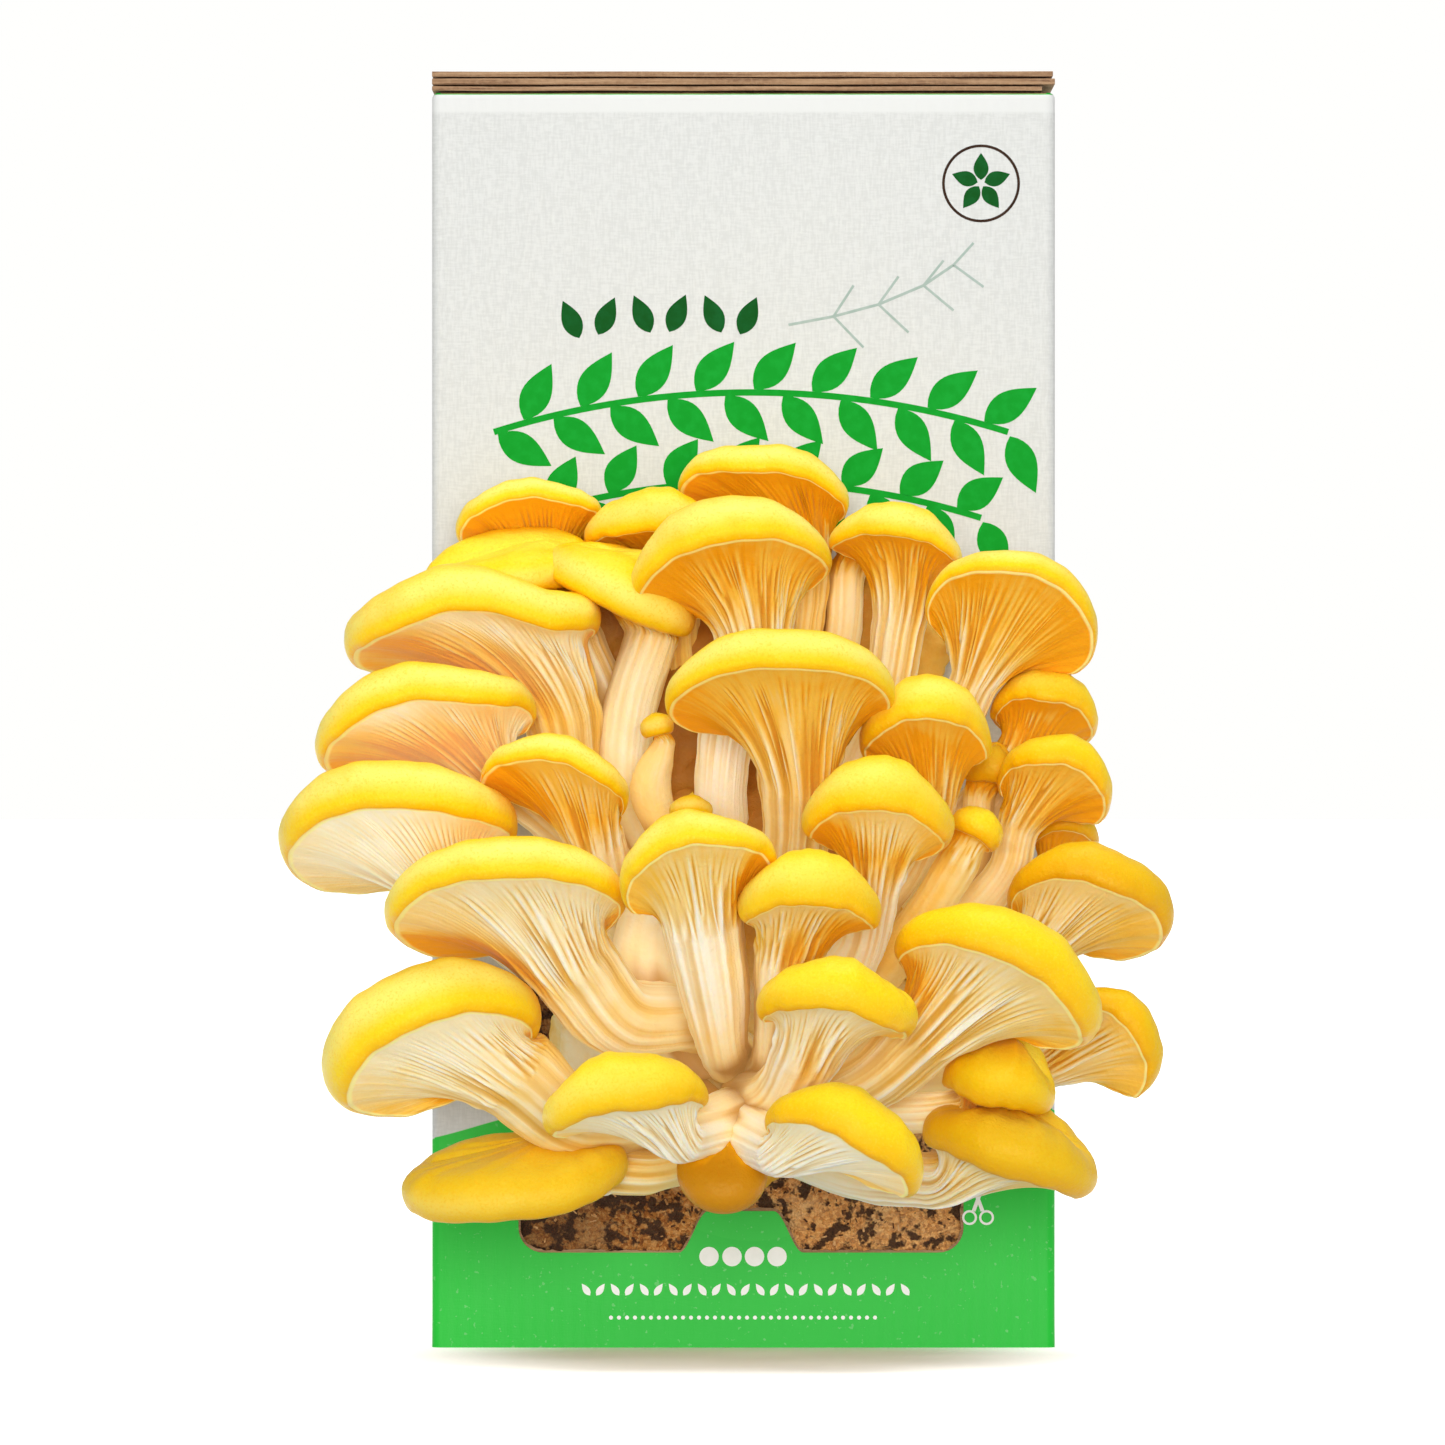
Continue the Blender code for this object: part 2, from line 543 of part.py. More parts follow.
def build_cluster_base(kit, cutters):
    """Fused lumps in and above the window, cut back from the board and the block."""
    lumps = []
    for index, (centre, half) in enumerate(BASE_LUMPS):
        body = bmesh.new()
        bmesh.ops.create_icosphere(body, subdivisions=2, radius=1)
        bmesh.ops.scale(body, vec=Vector(half) * MM, verts=body.verts)
        bmesh.ops.translate(body, vec=Vector(seen_at(*centre)) * MM, verts=body.verts)
        mesh = bpy.data.meshes.new(f"lump_{index}")
        body.to_mesh(mesh)
        body.free()
        lumps.append(mesh)
    fused = combined(lumps[0], lumps[1:], "UNION", cutters)
    side = WIDTH / 2 + 40
    panel = box_mesh("panel", (-side, FRONT - CLEARANCE, -5), (side, FRONT + BOARD + CLEARANCE, WALL_HEIGHT))
    hole = outline_mesh("hole", window_outline(CLEARANCE), FRONT - 3, FRONT + BOARD + 3)
    board = combined(panel, [hole], "DIFFERENCE", cutters)
    behind = box_mesh(
        "behind", (-side, FRONT + BOARD + BLOCK_RECESS - CLEARANCE, -5), (side, 60, WALL_HEIGHT))
    trimmed = combined(fused, [behind, board], "DIFFERENCE", cutters)
    trimmed.name = "cluster_base"
    add_object("cluster_base", trimmed, kit, "flesh", 0.6)
    return fused


def build_mushrooms(kit, cutters, fused_lumps):
    side = WIDTH / 2 + 60
    taken = [
        [swollen(fused_lumps, CLEARANCE)],
        [box_mesh("carton_room", (-side, FRONT - CLEARANCE, -5), (side, 60, WALL_HEIGHT))],
    ]
    for name, spec in MUSHROOMS.items():
        whole = mushroom_mesh(name, spec)
        mesh = whole
        for room in taken:
            if meet(mesh, room[0]):
                mesh = combined(mesh, room, "DIFFERENCE", cutters)
        mesh.name = name
        taken.append([swollen(whole, MUSHROOM_GAP), whole])
        add_object(name, mesh, kit, "golden_cap", 0.4)


def main():
    for old in list(bpy.data.objects):
        bpy.data.objects.remove(old)
    kit = bpy.data.collections.new("mushroom_grow_kit")
    cutters = bpy.data.collections.new("cutters")
    for collection in (kit, cutters):
        bpy.context.scene.collection.children.link(collection)
    build_carton(kit, cutters)
    build_block(kit)
    lumps = build_cluster_base(kit, cutters)
    build_mushrooms(kit, cutters, lumps)
    bpy.data.collections.remove(cutters)
    for mesh in list(bpy.data.meshes):
        if not mesh.users:
            bpy.data.meshes.remove(mesh)


main()
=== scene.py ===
"""The look of the oyster mushroom grow kit: camera, light and surroundings, the printed carton with its torn
window, the sawdust block, and the cluster of golden oysters with gills, ribbed stems and rounded margins.

Sizes are in millimetres until they are put in a mesh. A place on the cluster is given as (x, forward, z), as
it is seen on the front panel from VIEW_DISTANCE in front of it.
"""
import math

import bmesh
import bpy
import numpy as np
from mathutils import Matrix, Vector
from mathutils.bvhtree import BVHTree


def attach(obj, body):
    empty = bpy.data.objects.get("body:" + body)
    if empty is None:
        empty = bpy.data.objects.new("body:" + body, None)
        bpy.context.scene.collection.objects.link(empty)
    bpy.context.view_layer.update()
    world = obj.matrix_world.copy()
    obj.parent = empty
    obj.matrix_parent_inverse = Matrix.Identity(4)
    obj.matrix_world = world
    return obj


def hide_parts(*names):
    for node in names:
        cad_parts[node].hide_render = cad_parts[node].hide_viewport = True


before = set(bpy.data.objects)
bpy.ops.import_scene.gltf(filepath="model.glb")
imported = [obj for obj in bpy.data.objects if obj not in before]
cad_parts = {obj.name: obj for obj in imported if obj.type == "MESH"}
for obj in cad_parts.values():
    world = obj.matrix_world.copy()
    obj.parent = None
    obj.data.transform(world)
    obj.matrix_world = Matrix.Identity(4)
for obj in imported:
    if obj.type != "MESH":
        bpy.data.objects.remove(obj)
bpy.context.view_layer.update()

MM = 0.001
WIDTH, DEPTH, WALL_HEIGHT, BOARD = 124.6, 95.0, 251.0, 1.4
FRONT = -DEPTH / 2
VIEW_DISTANCE = 2408.0
VIEW_X, VIEW_Z = -4.2, 125.0

WINDOW_LEFT, WINDOW_RIGHT = -45.0, 44.0
WINDOW_BOTTOM, WINDOW_TOP = 19.0, 80.0
WINDOW_CORNER = 5.0
TONGUE_CENTRE = -0.5
TONGUE_BASE, TONGUE_TIP = 12.5, 6.5
TONGUE_HEIGHT = 8.3

# Each ply of the glued top: its underside, its top and how far it stops short on the right
FLAPS = {
    "top_flap_lower": (251.35, 252.2, 2.6),
    "top_flap_middle": (252.6, 253.8, 0.0),
    "top_flap_upper": (254.15, 255.2, 0.4),
}

# The rounded lumps that the fused base is made of: where each one is and its half sizes
BASE_LUMPS = (
    ((0, 4, 52), (36, 25, 18)),
    ((0, 16, 82), (34, 15, 30)),
    ((-17, 20, 62), (20, 16, 20)),
    ((17, 20, 60), (20, 16, 20)),
    ((-3, 9, 112), (37, 8, 38)),
    ((-3, 7, 138), (44, 6, 22)),
)

# The rolled margin's bulge, the height of its widest part and its shoulder, as shares of its thickness
MARGIN_BULGE, MARGIN_WIDEST, SHOULDER = 0.2, 0.4, 0.55
FOOT_ROUND = 0.08
STEM_STEPS = 64


def mushroom(centre, half, reach, tilt, roll, thick, stem, **own):
    """One mushroom.

    centre is the middle of the cap's margin, half its half width and reach its half depths towards the front
    and the back. tilt is how far its front is raised and roll how far its right side is, in degrees, and
    thick the height of the margin. stem lists (x, forward, z, radius) from the foot to the neck.

    droop lowers the two sides of the margin and dip its front right, and wave is how far it undulates. side
    is how thick its two sides are and dome how high the middle of its top is, both as a share of thick. From
    0 to 1, warm is how amber its underside is, deep how dark its yellow is, heart how amber its stem is and
    ribs how strongly its stem is ribbed.
    """
    return {
        "centre": centre, "half": half, "reach": reach, "tilt": tilt, "roll": roll, "thick": thick,
        "stem": stem, "droop": 1.0, "dip": 0.0, "wave": 0.6, "side": 0.5, "dome": 0.65,
        "warm": 0.5, "deep": 0.0, "heart": 0.15, "ribs": 0.6, **own,
    }


MUSHROOMS = {
    "mushroom_low_centre": mushroom(
        (18.5, 88, 66), 14.4, (11, 10), 8, -8, 11.0,
        [(0, 26, 50, 6), (4, 52, 50, 5.5), (8.5, 70, 52, 6), (12.5, 79, 59, 6.8)],
        droop=2.0, side=0.75, warm=0.38),
    "mushroom_bottom_right": mushroom(
        (19.2, 88, 38.3), 15.6, (12, 9), 17, -26, 12.5,
        [(0, 28, 46, 6), (2, 62, 43, 6), (8, 79, 39.5, 5.6)],
        heart=0.02, warm=0.22, ribs=0.25),
    "mushroom_bottom_left": mushroom(
        (-23.3, 84, 46.4), 15.4, (11, 10), 7, 11, 12.5,
        [(1, 26, 48, 6), (-4, 60, 45, 6), (-13, 76, 42.5, 5.6)],
        heart=0.05, warm=0.28, ribs=0.25),
    "mushroom_centre_left": mushroom(
        (-9, 84, 93.3), 14.8, (13, 11), 33, 12.6, 10.0,
        [(-2, 24, 58, 6), (-3.5, 46, 60, 5.5), (-4.6, 64, 63, 5.6), (-6, 71, 72, 6.8), (-8, 75, 84, 8.0)],
        heart=0.06, warm=0.62, ribs=0.5),
    "mushroom_centre_right": mushroom(
        (13.2, 82, 85.5), 12.8, (12, 11), 14, -2, 12.5,
        [(3, 26, 56, 5), (6.2, 56, 58, 4.3), (7.2, 68, 67, 4.9), (8.8, 74, 77, 6.3)],
        side=0.7),
    "mushroom_right_large": mushroom(
        (49.8, 78, 70.3), 20.0, (15, 12), 28, -26, 13.5,
        [(6, 28, 52, 6.5), (18, 48, 52, 6.5), (28, 62, 56, 7.0), (36, 69, 63, 7.8)],
        side=0.7, heart=0.3, warm=0.45, ribs=0.9),
    "mushroom_left_large": mushroom(
        (-47.3, 74, 86.8), 22.6, (17, 19), 27, 5.5, 11.0,
        [(-3, 28, 62, 6), (-13, 48, 66, 6.5), (-25.5, 60, 66.5, 8.0), (-33.5, 65, 76, 8.8)],
        dip=1.5, side=0.7, heart=0.25, warm=0.34),
    "mushroom_low_left": mushroom(
        (-60.8, 72, 56.3), 19.6, (16, 14), 32, 22, 16.5,
        [(-6, 26, 48, 6.5), (-20, 44, 47, 7), (-35, 57, 46.5, 8), (-46, 63, 55, 9.2)],
        droop=0.2, side=0.95, heart=0.38, warm=0.28, ribs=0.45),
    "mushroom_egg": mushroom(
        (-4.1, 66, 34.0), 7.6, (7.5, 7), -60, 0, 7.0,
        [(-1, 32, 44, 5), (-3, 58, 37, 3.6)],
        droop=0.0, wave=0.0, side=1.0, dome=1.0, warm=0.6, deep=1.0),
    "mushroom_right_centre": mushroom(
        (26.8, 68, 102.4), 13.4, (12, 11), 24, -5, 13.5,
        [(14, 32, 66, 6), (23.5, 52, 80, 4.6), (26, 61, 92, 5.2)],
        side=0.7, heart=0.0, warm=0.55, ribs=0.9),
    "mushroom_low_right_top": mushroom(
        (50.5, 60, 51), 10.4, (9, 8), -15, -15, 12.5,
        [(14, 30, 48, 5), (34, 50, 47, 4), (44, 55, 48, 4)],
        dome=1.05, warm=0.4, deep=0.15),
    "mushroom_middle_large": mushroom(
        (7.2, 60, 128.7), 22.0, (17, 15), 25, 2, 10.5,
        [(7, 22, 84, 7), (9, 32, 94, 6.5), (10.5, 44, 104, 6.6), (11, 52, 114, 7.8)],
        heart=0.32, warm=0.8, wave=0.35, ribs=1.0),
    "button_middle": mushroom(
        (-10.4, 62, 107.2), 3.8, (3.5, 3.2), 0, 0, 3.6,
        [(-8, 36, 88, 3.5), (-9.5, 58, 101, 2.6), (-10, 61, 105, 2.3)],
        wave=0.1, side=1.0, dome=1.1, warm=0.6, deep=0.3),
    "mushroom_drooping_right": mushroom(
        (53, 58, 37.8), 16.4, (12, 11), -14, -19, 10.4,
        [(6, 30, 42, 6), (24, 45, 35, 5.5), (38, 51, 33.5, 5.6)],
        droop=2.0, side=0.8, dome=1.1, warm=0.45, deep=0.4),
    "mushroom_left_inner": mushroom(
        (-38, 54, 111.2), 14.4, (13, 11), 26, -12, 7.0,
        [(-20, 26, 78, 6.5), (-27, 38, 90, 5.6), (-29.5, 47, 101, 5.8)],
        heart=0.0, warm=0.72),
    "mushroom_drooping_left": mushroom(
        (-45.5, 54, 31.6), 21.4, (13, 11), -25, 8, 8.5,
        [(-6, 28, 42, 6), (-18, 43, 36, 5), (-27, 47, 36, 5)],
        droop=0.2, wave=0.5, side=0.9, dome=1.1, heart=0.45, deep=0.25),
    "mushroom_left_low": mushroom(
        (-69, 52, 101), 22.2, (17, 22), 27, 7, 13.0,
        [(-25, 22, 70, 7), (-42, 34, 80, 6.5), (-57, 43, 91, 6.8)],
        dip=3.0, side=0.7, warm=0.05),
    "mushroom_right_inner": mushroom(
        (36.4, 50, 119.6), 12.2, (12, 10), 30, 0, 12.0,
        [(20, 24, 84, 6), (32, 34, 98, 5), (37, 43, 109, 5)],
        heart=0.25, warm=0.85, ribs=0.9),
    "stem_bulb": mushroom(
        (-17, 46, 95.5), 6.0, (5.5, 5), 0, 0, 4.5,
        [(-6, 30, 56, 6), (-16, 41, 68, 7.0), (-19.4, 46, 79, 7.0), (-17.5, 46, 91, 5.2)],
        wave=0.1, side=0.8, heart=0.05, warm=0.2, ribs=0.1),
    "button_long_stem": mushroom(
        (-17, 48, 122.6), 2.6, (2.6, 2.4), 0, 12, 4.4,
        [(-10, 30, 92, 4), (-15.5, 41, 103, 3.2), (-18.4, 44, 112, 4.2), (-15.8, 46, 121, 2.3)],
        wave=0.0, droop=0.1, side=1.0, heart=0.4, warm=0.7, deep=0.3, ribs=0.2),
    "mushroom_right_slim": mushroom(
        (45.6, 50, 101.6), 4.3, (4.4, 4), 10, -30, 6.4,
        [(24, 32, 70, 4), (36, 45, 86, 4.2), (42.6, 48, 96.5, 4.3)],
        wave=0.1, droop=0.2, side=0.95, dome=1.0, heart=0.5, warm=0.6),
    "mushroom_low_right_outer": mushroom(
        (71.2, 48, 59.8), 12.0, (10, 8), 40, -45, 9.0,
        [(24, 24, 52, 6), (48, 34, 54, 4.6), (62, 42, 57, 4.6)],
        warm=0.62, deep=0.3),
    "mushroom_right_outer": mushroom(
        (68.9, 44, 86.3), 15.4, (12, 14), 33, -14, 12.0,
        [(28, 24, 62, 6), (45, 32, 70, 5), (57, 38, 79, 5.2)],
        warm=0.52, deep=0.4),
    "mushroom_left_high": mushroom(
        (-63.2, 42, 122.3), 21.2, (16, 13), 27, 12.8, 10.2,
        [(-22, 18, 90, 6), (-36, 28, 104, 5.4), (-49, 35, 115, 5.8)],
        dip=2.0, side=0.65, warm=0.08),
    "mushroom_right_curved": mushroom(
        (62, 38, 110.6), 10.8, (10, 8), 38, -16, 9.5,
        [(32, 24, 74, 5), (51, 31, 93, 4), (55, 34, 104, 4.3)],
        heart=0.3, warm=0.8),
    "mushroom_upper_middle": mushroom(
        (-2.2, 36, 153.3), 19.2, (16, 13), 28, 9.8, 12.5,
        [(-4, 18, 98, 6), (-4.5, 28, 112, 5), (-3, 28, 124, 5.5), (1, 30, 138, 7)],
        heart=0.0, warm=0.88, ribs=1.0),
    "mushroom_upper_right": mushroom(
        (53.5, 36, 144.3), 17.0, (15, 12), 45, -17, 8.0,
        [(22, 18, 98, 5), (40, 26, 120, 4.4), (46, 30, 133, 5.0)],
        heart=0.3, warm=0.92),
    "mushroom_upper_left": mushroom(
        (-54, 34, 141.6), 24.2, (16, 14), 22, 8.5, 11.5,
        [(-20, 16, 95, 6), (-33, 24, 113, 6.4), (-36.5, 28, 127, 8.0)],
        dip=5.0, side=0.75, heart=0.35, warm=0.26, ribs=0.8),
    "mushroom_right_hidden": mushroom(
        (49.5, 30, 114), 5.2, (5, 4.5), -10, -10, 6.6,
        [(34, 20, 74, 4), (45, 27, 92, 3.4), (47, 29, 109.5, 3.2)],
        wave=0.2, heart=0.3, warm=0.8, deep=0.4),
    "mushroom_tilted": mushroom(
        (-25.5, 27, 149), 15.0, (11, 10), -10, -25, 10.0,
        [(-18, 18, 98, 5), (-23.6, 26, 111, 4.9), (-22.8, 26, 127, 5.2), (-18.6, 23, 141, 5.4)],
        droop=0.3, wave=0.2, side=0.7, dome=1.2, heart=0.12, warm=0.6, ribs=0.15),
    "mushroom_right_high": mushroom(
        (60.3, 27, 125.2), 9.8, (9, 8), 30, -11, 8.5,
        [(26, 16, 88, 5), (44, 22, 104, 5), (53.5, 24, 115, 5.5)],
        warm=0.8),
    "mushroom_upper_right_inner": mushroom(
        (30.3, 28, 159.2), 12.8, (11, 10), 15, -8, 8.0,
        [(16, 16, 102, 5), (27, 21, 125, 4.8), (31, 24, 145, 5.4)],
        heart=0.3, warm=1.0, wave=0.5, ribs=0.9),
    "mushroom_upper_left_back": mushroom(
        (-46, 22, 154.8), 17.2, (11, 10), -22, 5, 7.0,
        [(-22, 16, 98, 5), (-26, 17, 124, 4.6), (-34, 19, 144, 5)],
        wave=0.3, dome=0.95, heart=0.05, warm=0.8),
    "mushroom_right_small": mushroom(
        (64.2, 24, 101.4), 6.0, (6, 5), 20, -2, 6.4,
        [(32, 16, 78, 5), (50, 20, 86, 3.4), (59, 21, 92, 3.6)],
        wave=0.2, warm=0.7, deep=0.4),
    "mushroom_top_centre_left": mushroom(
        (-17, 17, 161.5), 13.8, (10, 9), 8, 0, 9.5,
        [(-8, 8, 104, 5), (-12, 9, 126, 4.4), (-14, 13, 150, 4.8)],
        heart=0.6, warm=0.9),
    "mushroom_top_middle": mushroom(
        (4, 16, 170), 16.6, (12, 10), 25, -8, 7.4,
        [(6, 16, 104, 5), (9.5, 15, 130, 4.2), (12, 14, 146, 4.4), (12.5, 13, 157, 5)],
        heart=0.5, warm=1.0),
    "mushroom_top_left": mushroom(
        (-42.6, 14, 164.4), 14.2, (10, 9), 32, 5, 6.0,
        [(-18, 13, 100, 4.5), (-33, 11, 128, 4.2), (-39, 11, 150, 4.8)],
        warm=1.0),
    "mushroom_back_slim": mushroom(
        (25, 10, 160), 6.4, (6, 5.5), 5, 0, 5.0,
        [(14, 16, 108, 4), (19.5, 14, 140, 3.5), (20.5, 11, 153, 3.6)],
        wave=0.2, heart=0.3, warm=0.9),
}


def seen_at(x, forward, z):
    """The point this far in front of the panel that is seen in line with (x, z) on the panel."""
    shrink = 1 - forward / VIEW_DISTANCE
    return np.array([
        VIEW_X + (x - VIEW_X) * shrink,
        FRONT - forward,
        VIEW_Z + (z - VIEW_Z) * shrink,
    ])


def unit(vector):
    return vector / np.linalg.norm(vector)


def smooth(value, low, high):
    t = np.clip((value - low) / (high - low), 0, 1)
    return t * t * (3 - 2 * t)


class Ripples:
    """Soft seeded noise from waves that run in many directions, about -1 to 1."""

    def __init__(self, seed, shortest, longest, count=14):
        chance = np.random.default_rng(seed)
        ways = chance.normal(size=(count, 3))
        ways /= np.linalg.norm(ways, axis=1)[:, None]
        lengths = shortest * (longest / shortest) ** chance.random(count)
        self.ways = ways * (2 * math.pi / lengths)[:, None]
        self.shifts = chance.random(count) * 2 * math.pi
        self.scale = math.sqrt(2.0 / count)

    def __call__(self, points):
        return np.sin(points @ self.ways.T + self.shifts).sum(axis=-1) * self.scale * 0.7


# Materials
class Tree:
    """A node tree and short ways to add nodes to it."""

    def __init__(self, tree):
        self.tree = tree
        self.nodes, self.links = tree.nodes, tree.links

    def put(self, value, socket):
        if isinstance(value, bpy.types.NodeSocket):
            self.links.new(value, socket)
        elif value is not None:
            socket.default_value = (*value, 1) if socket.type == "RGBA" else value

    def add(self, kind, **values):
        """A node of this kind, with the values put in the inputs that they name."""
        node = self.nodes.new("ShaderNode" + kind)
        for title, value in values.items():
            self.put(value, node.inputs[title.replace("_", " ")])
        return node

    def math(self, operation, first, second=None, third=None, clamp=False):
        node = self.add("Math")
        node.operation = operation
        node.use_clamp = clamp
        for value, socket in zip((first, second, third), node.inputs):
            self.put(value, socket)
        return node.outputs[0]

    def times(self, first, second, clamp=False):
        return self.math("MULTIPLY", first, second, clamp=clamp)

    def plus(self, first, second, clamp=False):
        return self.math("ADD", first, second, clamp=clamp)

    def wave(self, value, pace, start=0.0):
        return self.math("SINE", self.math("MULTIPLY_ADD", value, pace, start))

    def attribute(self, name):
        node = self.add("Attribute")
        node.attribute_name = name
        return node

    def split(self, vector):
        return self.add("SeparateXYZ", Vector=vector).outputs

    def stretched(self, vector, scale):
        return self.add("Mapping", Vector=vector, Scale=scale).outputs[0]

    def noise(self, scale, detail=3.0, roughness=0.55, vector=None):
        place = self.where if vector is None else vector
        node = self.add("TexNoise", Vector=place, Scale=scale, Detail=detail, Roughness=roughness)
        return node.outputs["Fac"]

    def band(self, value, low, high, start=0.0, end=1.0):
        """A smooth step from start to end as value goes from low to high."""
        node = self.add("MapRange")
        node.interpolation_type = "SMOOTHSTEP"
        titles = ("Value", "From Min", "From Max", "To Min", "To Max")
        for title, given in zip(titles, (value, low, high, start, end)):
            self.put(given, node.inputs[title])
        return node.outputs["Result"]

    def ramp(self, value, stops):
        node = self.add("ValToRGB", Fac=value)
        node.color_ramp.interpolation = "EASE"
        points = node.color_ramp.elements
        while len(points) < len(stops):
            points.new(0.5)
        for point, (place, colour) in zip(points, stops):
            point.position = place
            point.color = (*colour, 1)
        return node.outputs["Color"]

    def mix(self, share, first, second):
        node = self.add("Mix")
        node.data_type = "RGBA"
        self.put(share, node.inputs["Factor"])
        colours = [socket for socket in node.inputs if socket.type == "RGBA"]
        self.put(first, colours[0])
        self.put(second, colours[1])
        return [socket for socket in node.outputs if socket.type == "RGBA"][0]

    def bump(self, height, distance, strength=1.0):
        return self.add("Bump", Height=height, Distance=distance * MM, Strength=strength).outputs["Normal"]


class Effect(Tree):
    """A node group that more than one material uses, with named inputs and outputs."""

    def __init__(self, name, inputs, outputs):
        super().__init__(bpy.data.node_groups.new(name, "ShaderNodeTree"))
        for way, sockets in (("INPUT", inputs), ("OUTPUT", outputs)):
            for title, kind in sockets.items():
                self.tree.interface.new_socket(name=title, in_out=way, socket_type="NodeSocket" + kind)
        self.given = self.nodes.new("NodeGroupInput").outputs
        self.result = self.nodes.new("NodeGroupOutput").inputs


class Paint(Tree):
    """A material: a Principled BSDF, with patterns that read the object's coordinates."""

    def __init__(self, name, roughness=0.6, **values):
        self.material = bpy.data.materials.new(name)
        self.material.use_nodes = True
        super().__init__(self.material.node_tree)
        self.shader = self.nodes["Principled BSDF"]
        self.set(Roughness=roughness, **values)
        self.where = self.nodes.new("ShaderNodeTexCoord").outputs["Object"]

    def set(self, **values):
        """Puts values in the shader's own sockets. An underscore in a name stands for a space."""
        for title, value in values.items():
            self.put(value, self.shader.inputs[title.replace("_", " ")])

    def use(self, effect, **values):
        """Places an effect in the material with its own values, and gives back its outputs."""
        node = self.nodes.new("ShaderNodeGroup")
        node.node_tree = effect.tree
        for title, value in values.items():
            self.put(value, node.inputs[title])
        return node.outputs

    def finish(self, colour, **values):
        self.set(Base_Color=colour, **values)
        return self.material


# Flesh from pale to amber, by how warm it is, 0 to 1
FLESH = [
    (0.0, (0.95, 0.90, 0.75)),
    (0.25, (0.93, 0.80, 0.50)),
    (0.5, (0.90, 0.665, 0.25)),
    (0.75, (0.88, 0.53, 0.07)),
    (1.0, (0.85, 0.36, 0.004)),
]
# Painted shade for the grooves between the gills
GROOVE_SHADE = (0.62, 0.31, 0.05)
# Painted shade: the dark that a deep gap between the stems shows
GAP_SHADE = (0.46, 0.17, 0.012)
RIM_LINE = (0.99, 0.88, 0.34)
# The cap's yellows, darker at the low rim and paler over the top: partly their own colour, partly painted
# shade and painted light. The pale one is both a painted highlight and the colour of pale specks
CAP_LOW_AND_SHADE = (0.84, 0.38, 0.001)
CAP_SIDE = (0.93, 0.53, 0.001)
CAP_TOP = (0.97, 0.665, 0.006)
CAP_PALE_HIGHLIGHT_AND_SPECK = (0.98, 0.79, 0.15)
CAP_LIGHT = (0.98, 0.745, 0.05)
CAP_DEEP = (0.56, 0.23, 0.001)
# Painted glow, given as emission, that stands in for light coming through the flesh: of pale caps, of amber
# ones, and among the stems
GLOW_PALE = (0.9, 0.88, 0.66)
GLOW_AMBER = (1.0, 0.47, 0.03)
GLOW_STEM = (0.95, 0.66, 0.20)


def flesh_tone():
    """Flesh colour by its warmth, darkened by painted shade: turned towards the dark of a shaded gap between
    the stems, by the share given.
    """
    tone = Effect("flesh_tone", {"Warmth": "Float", "Buried": "Float"}, {"Colour": "Color"})
    colour = tone.ramp(tone.given["Warmth"], FLESH)
    tone.put(tone.mix(tone.given["Buried"], colour, GAP_SHADE), tone.result["Colour"])
    return tone


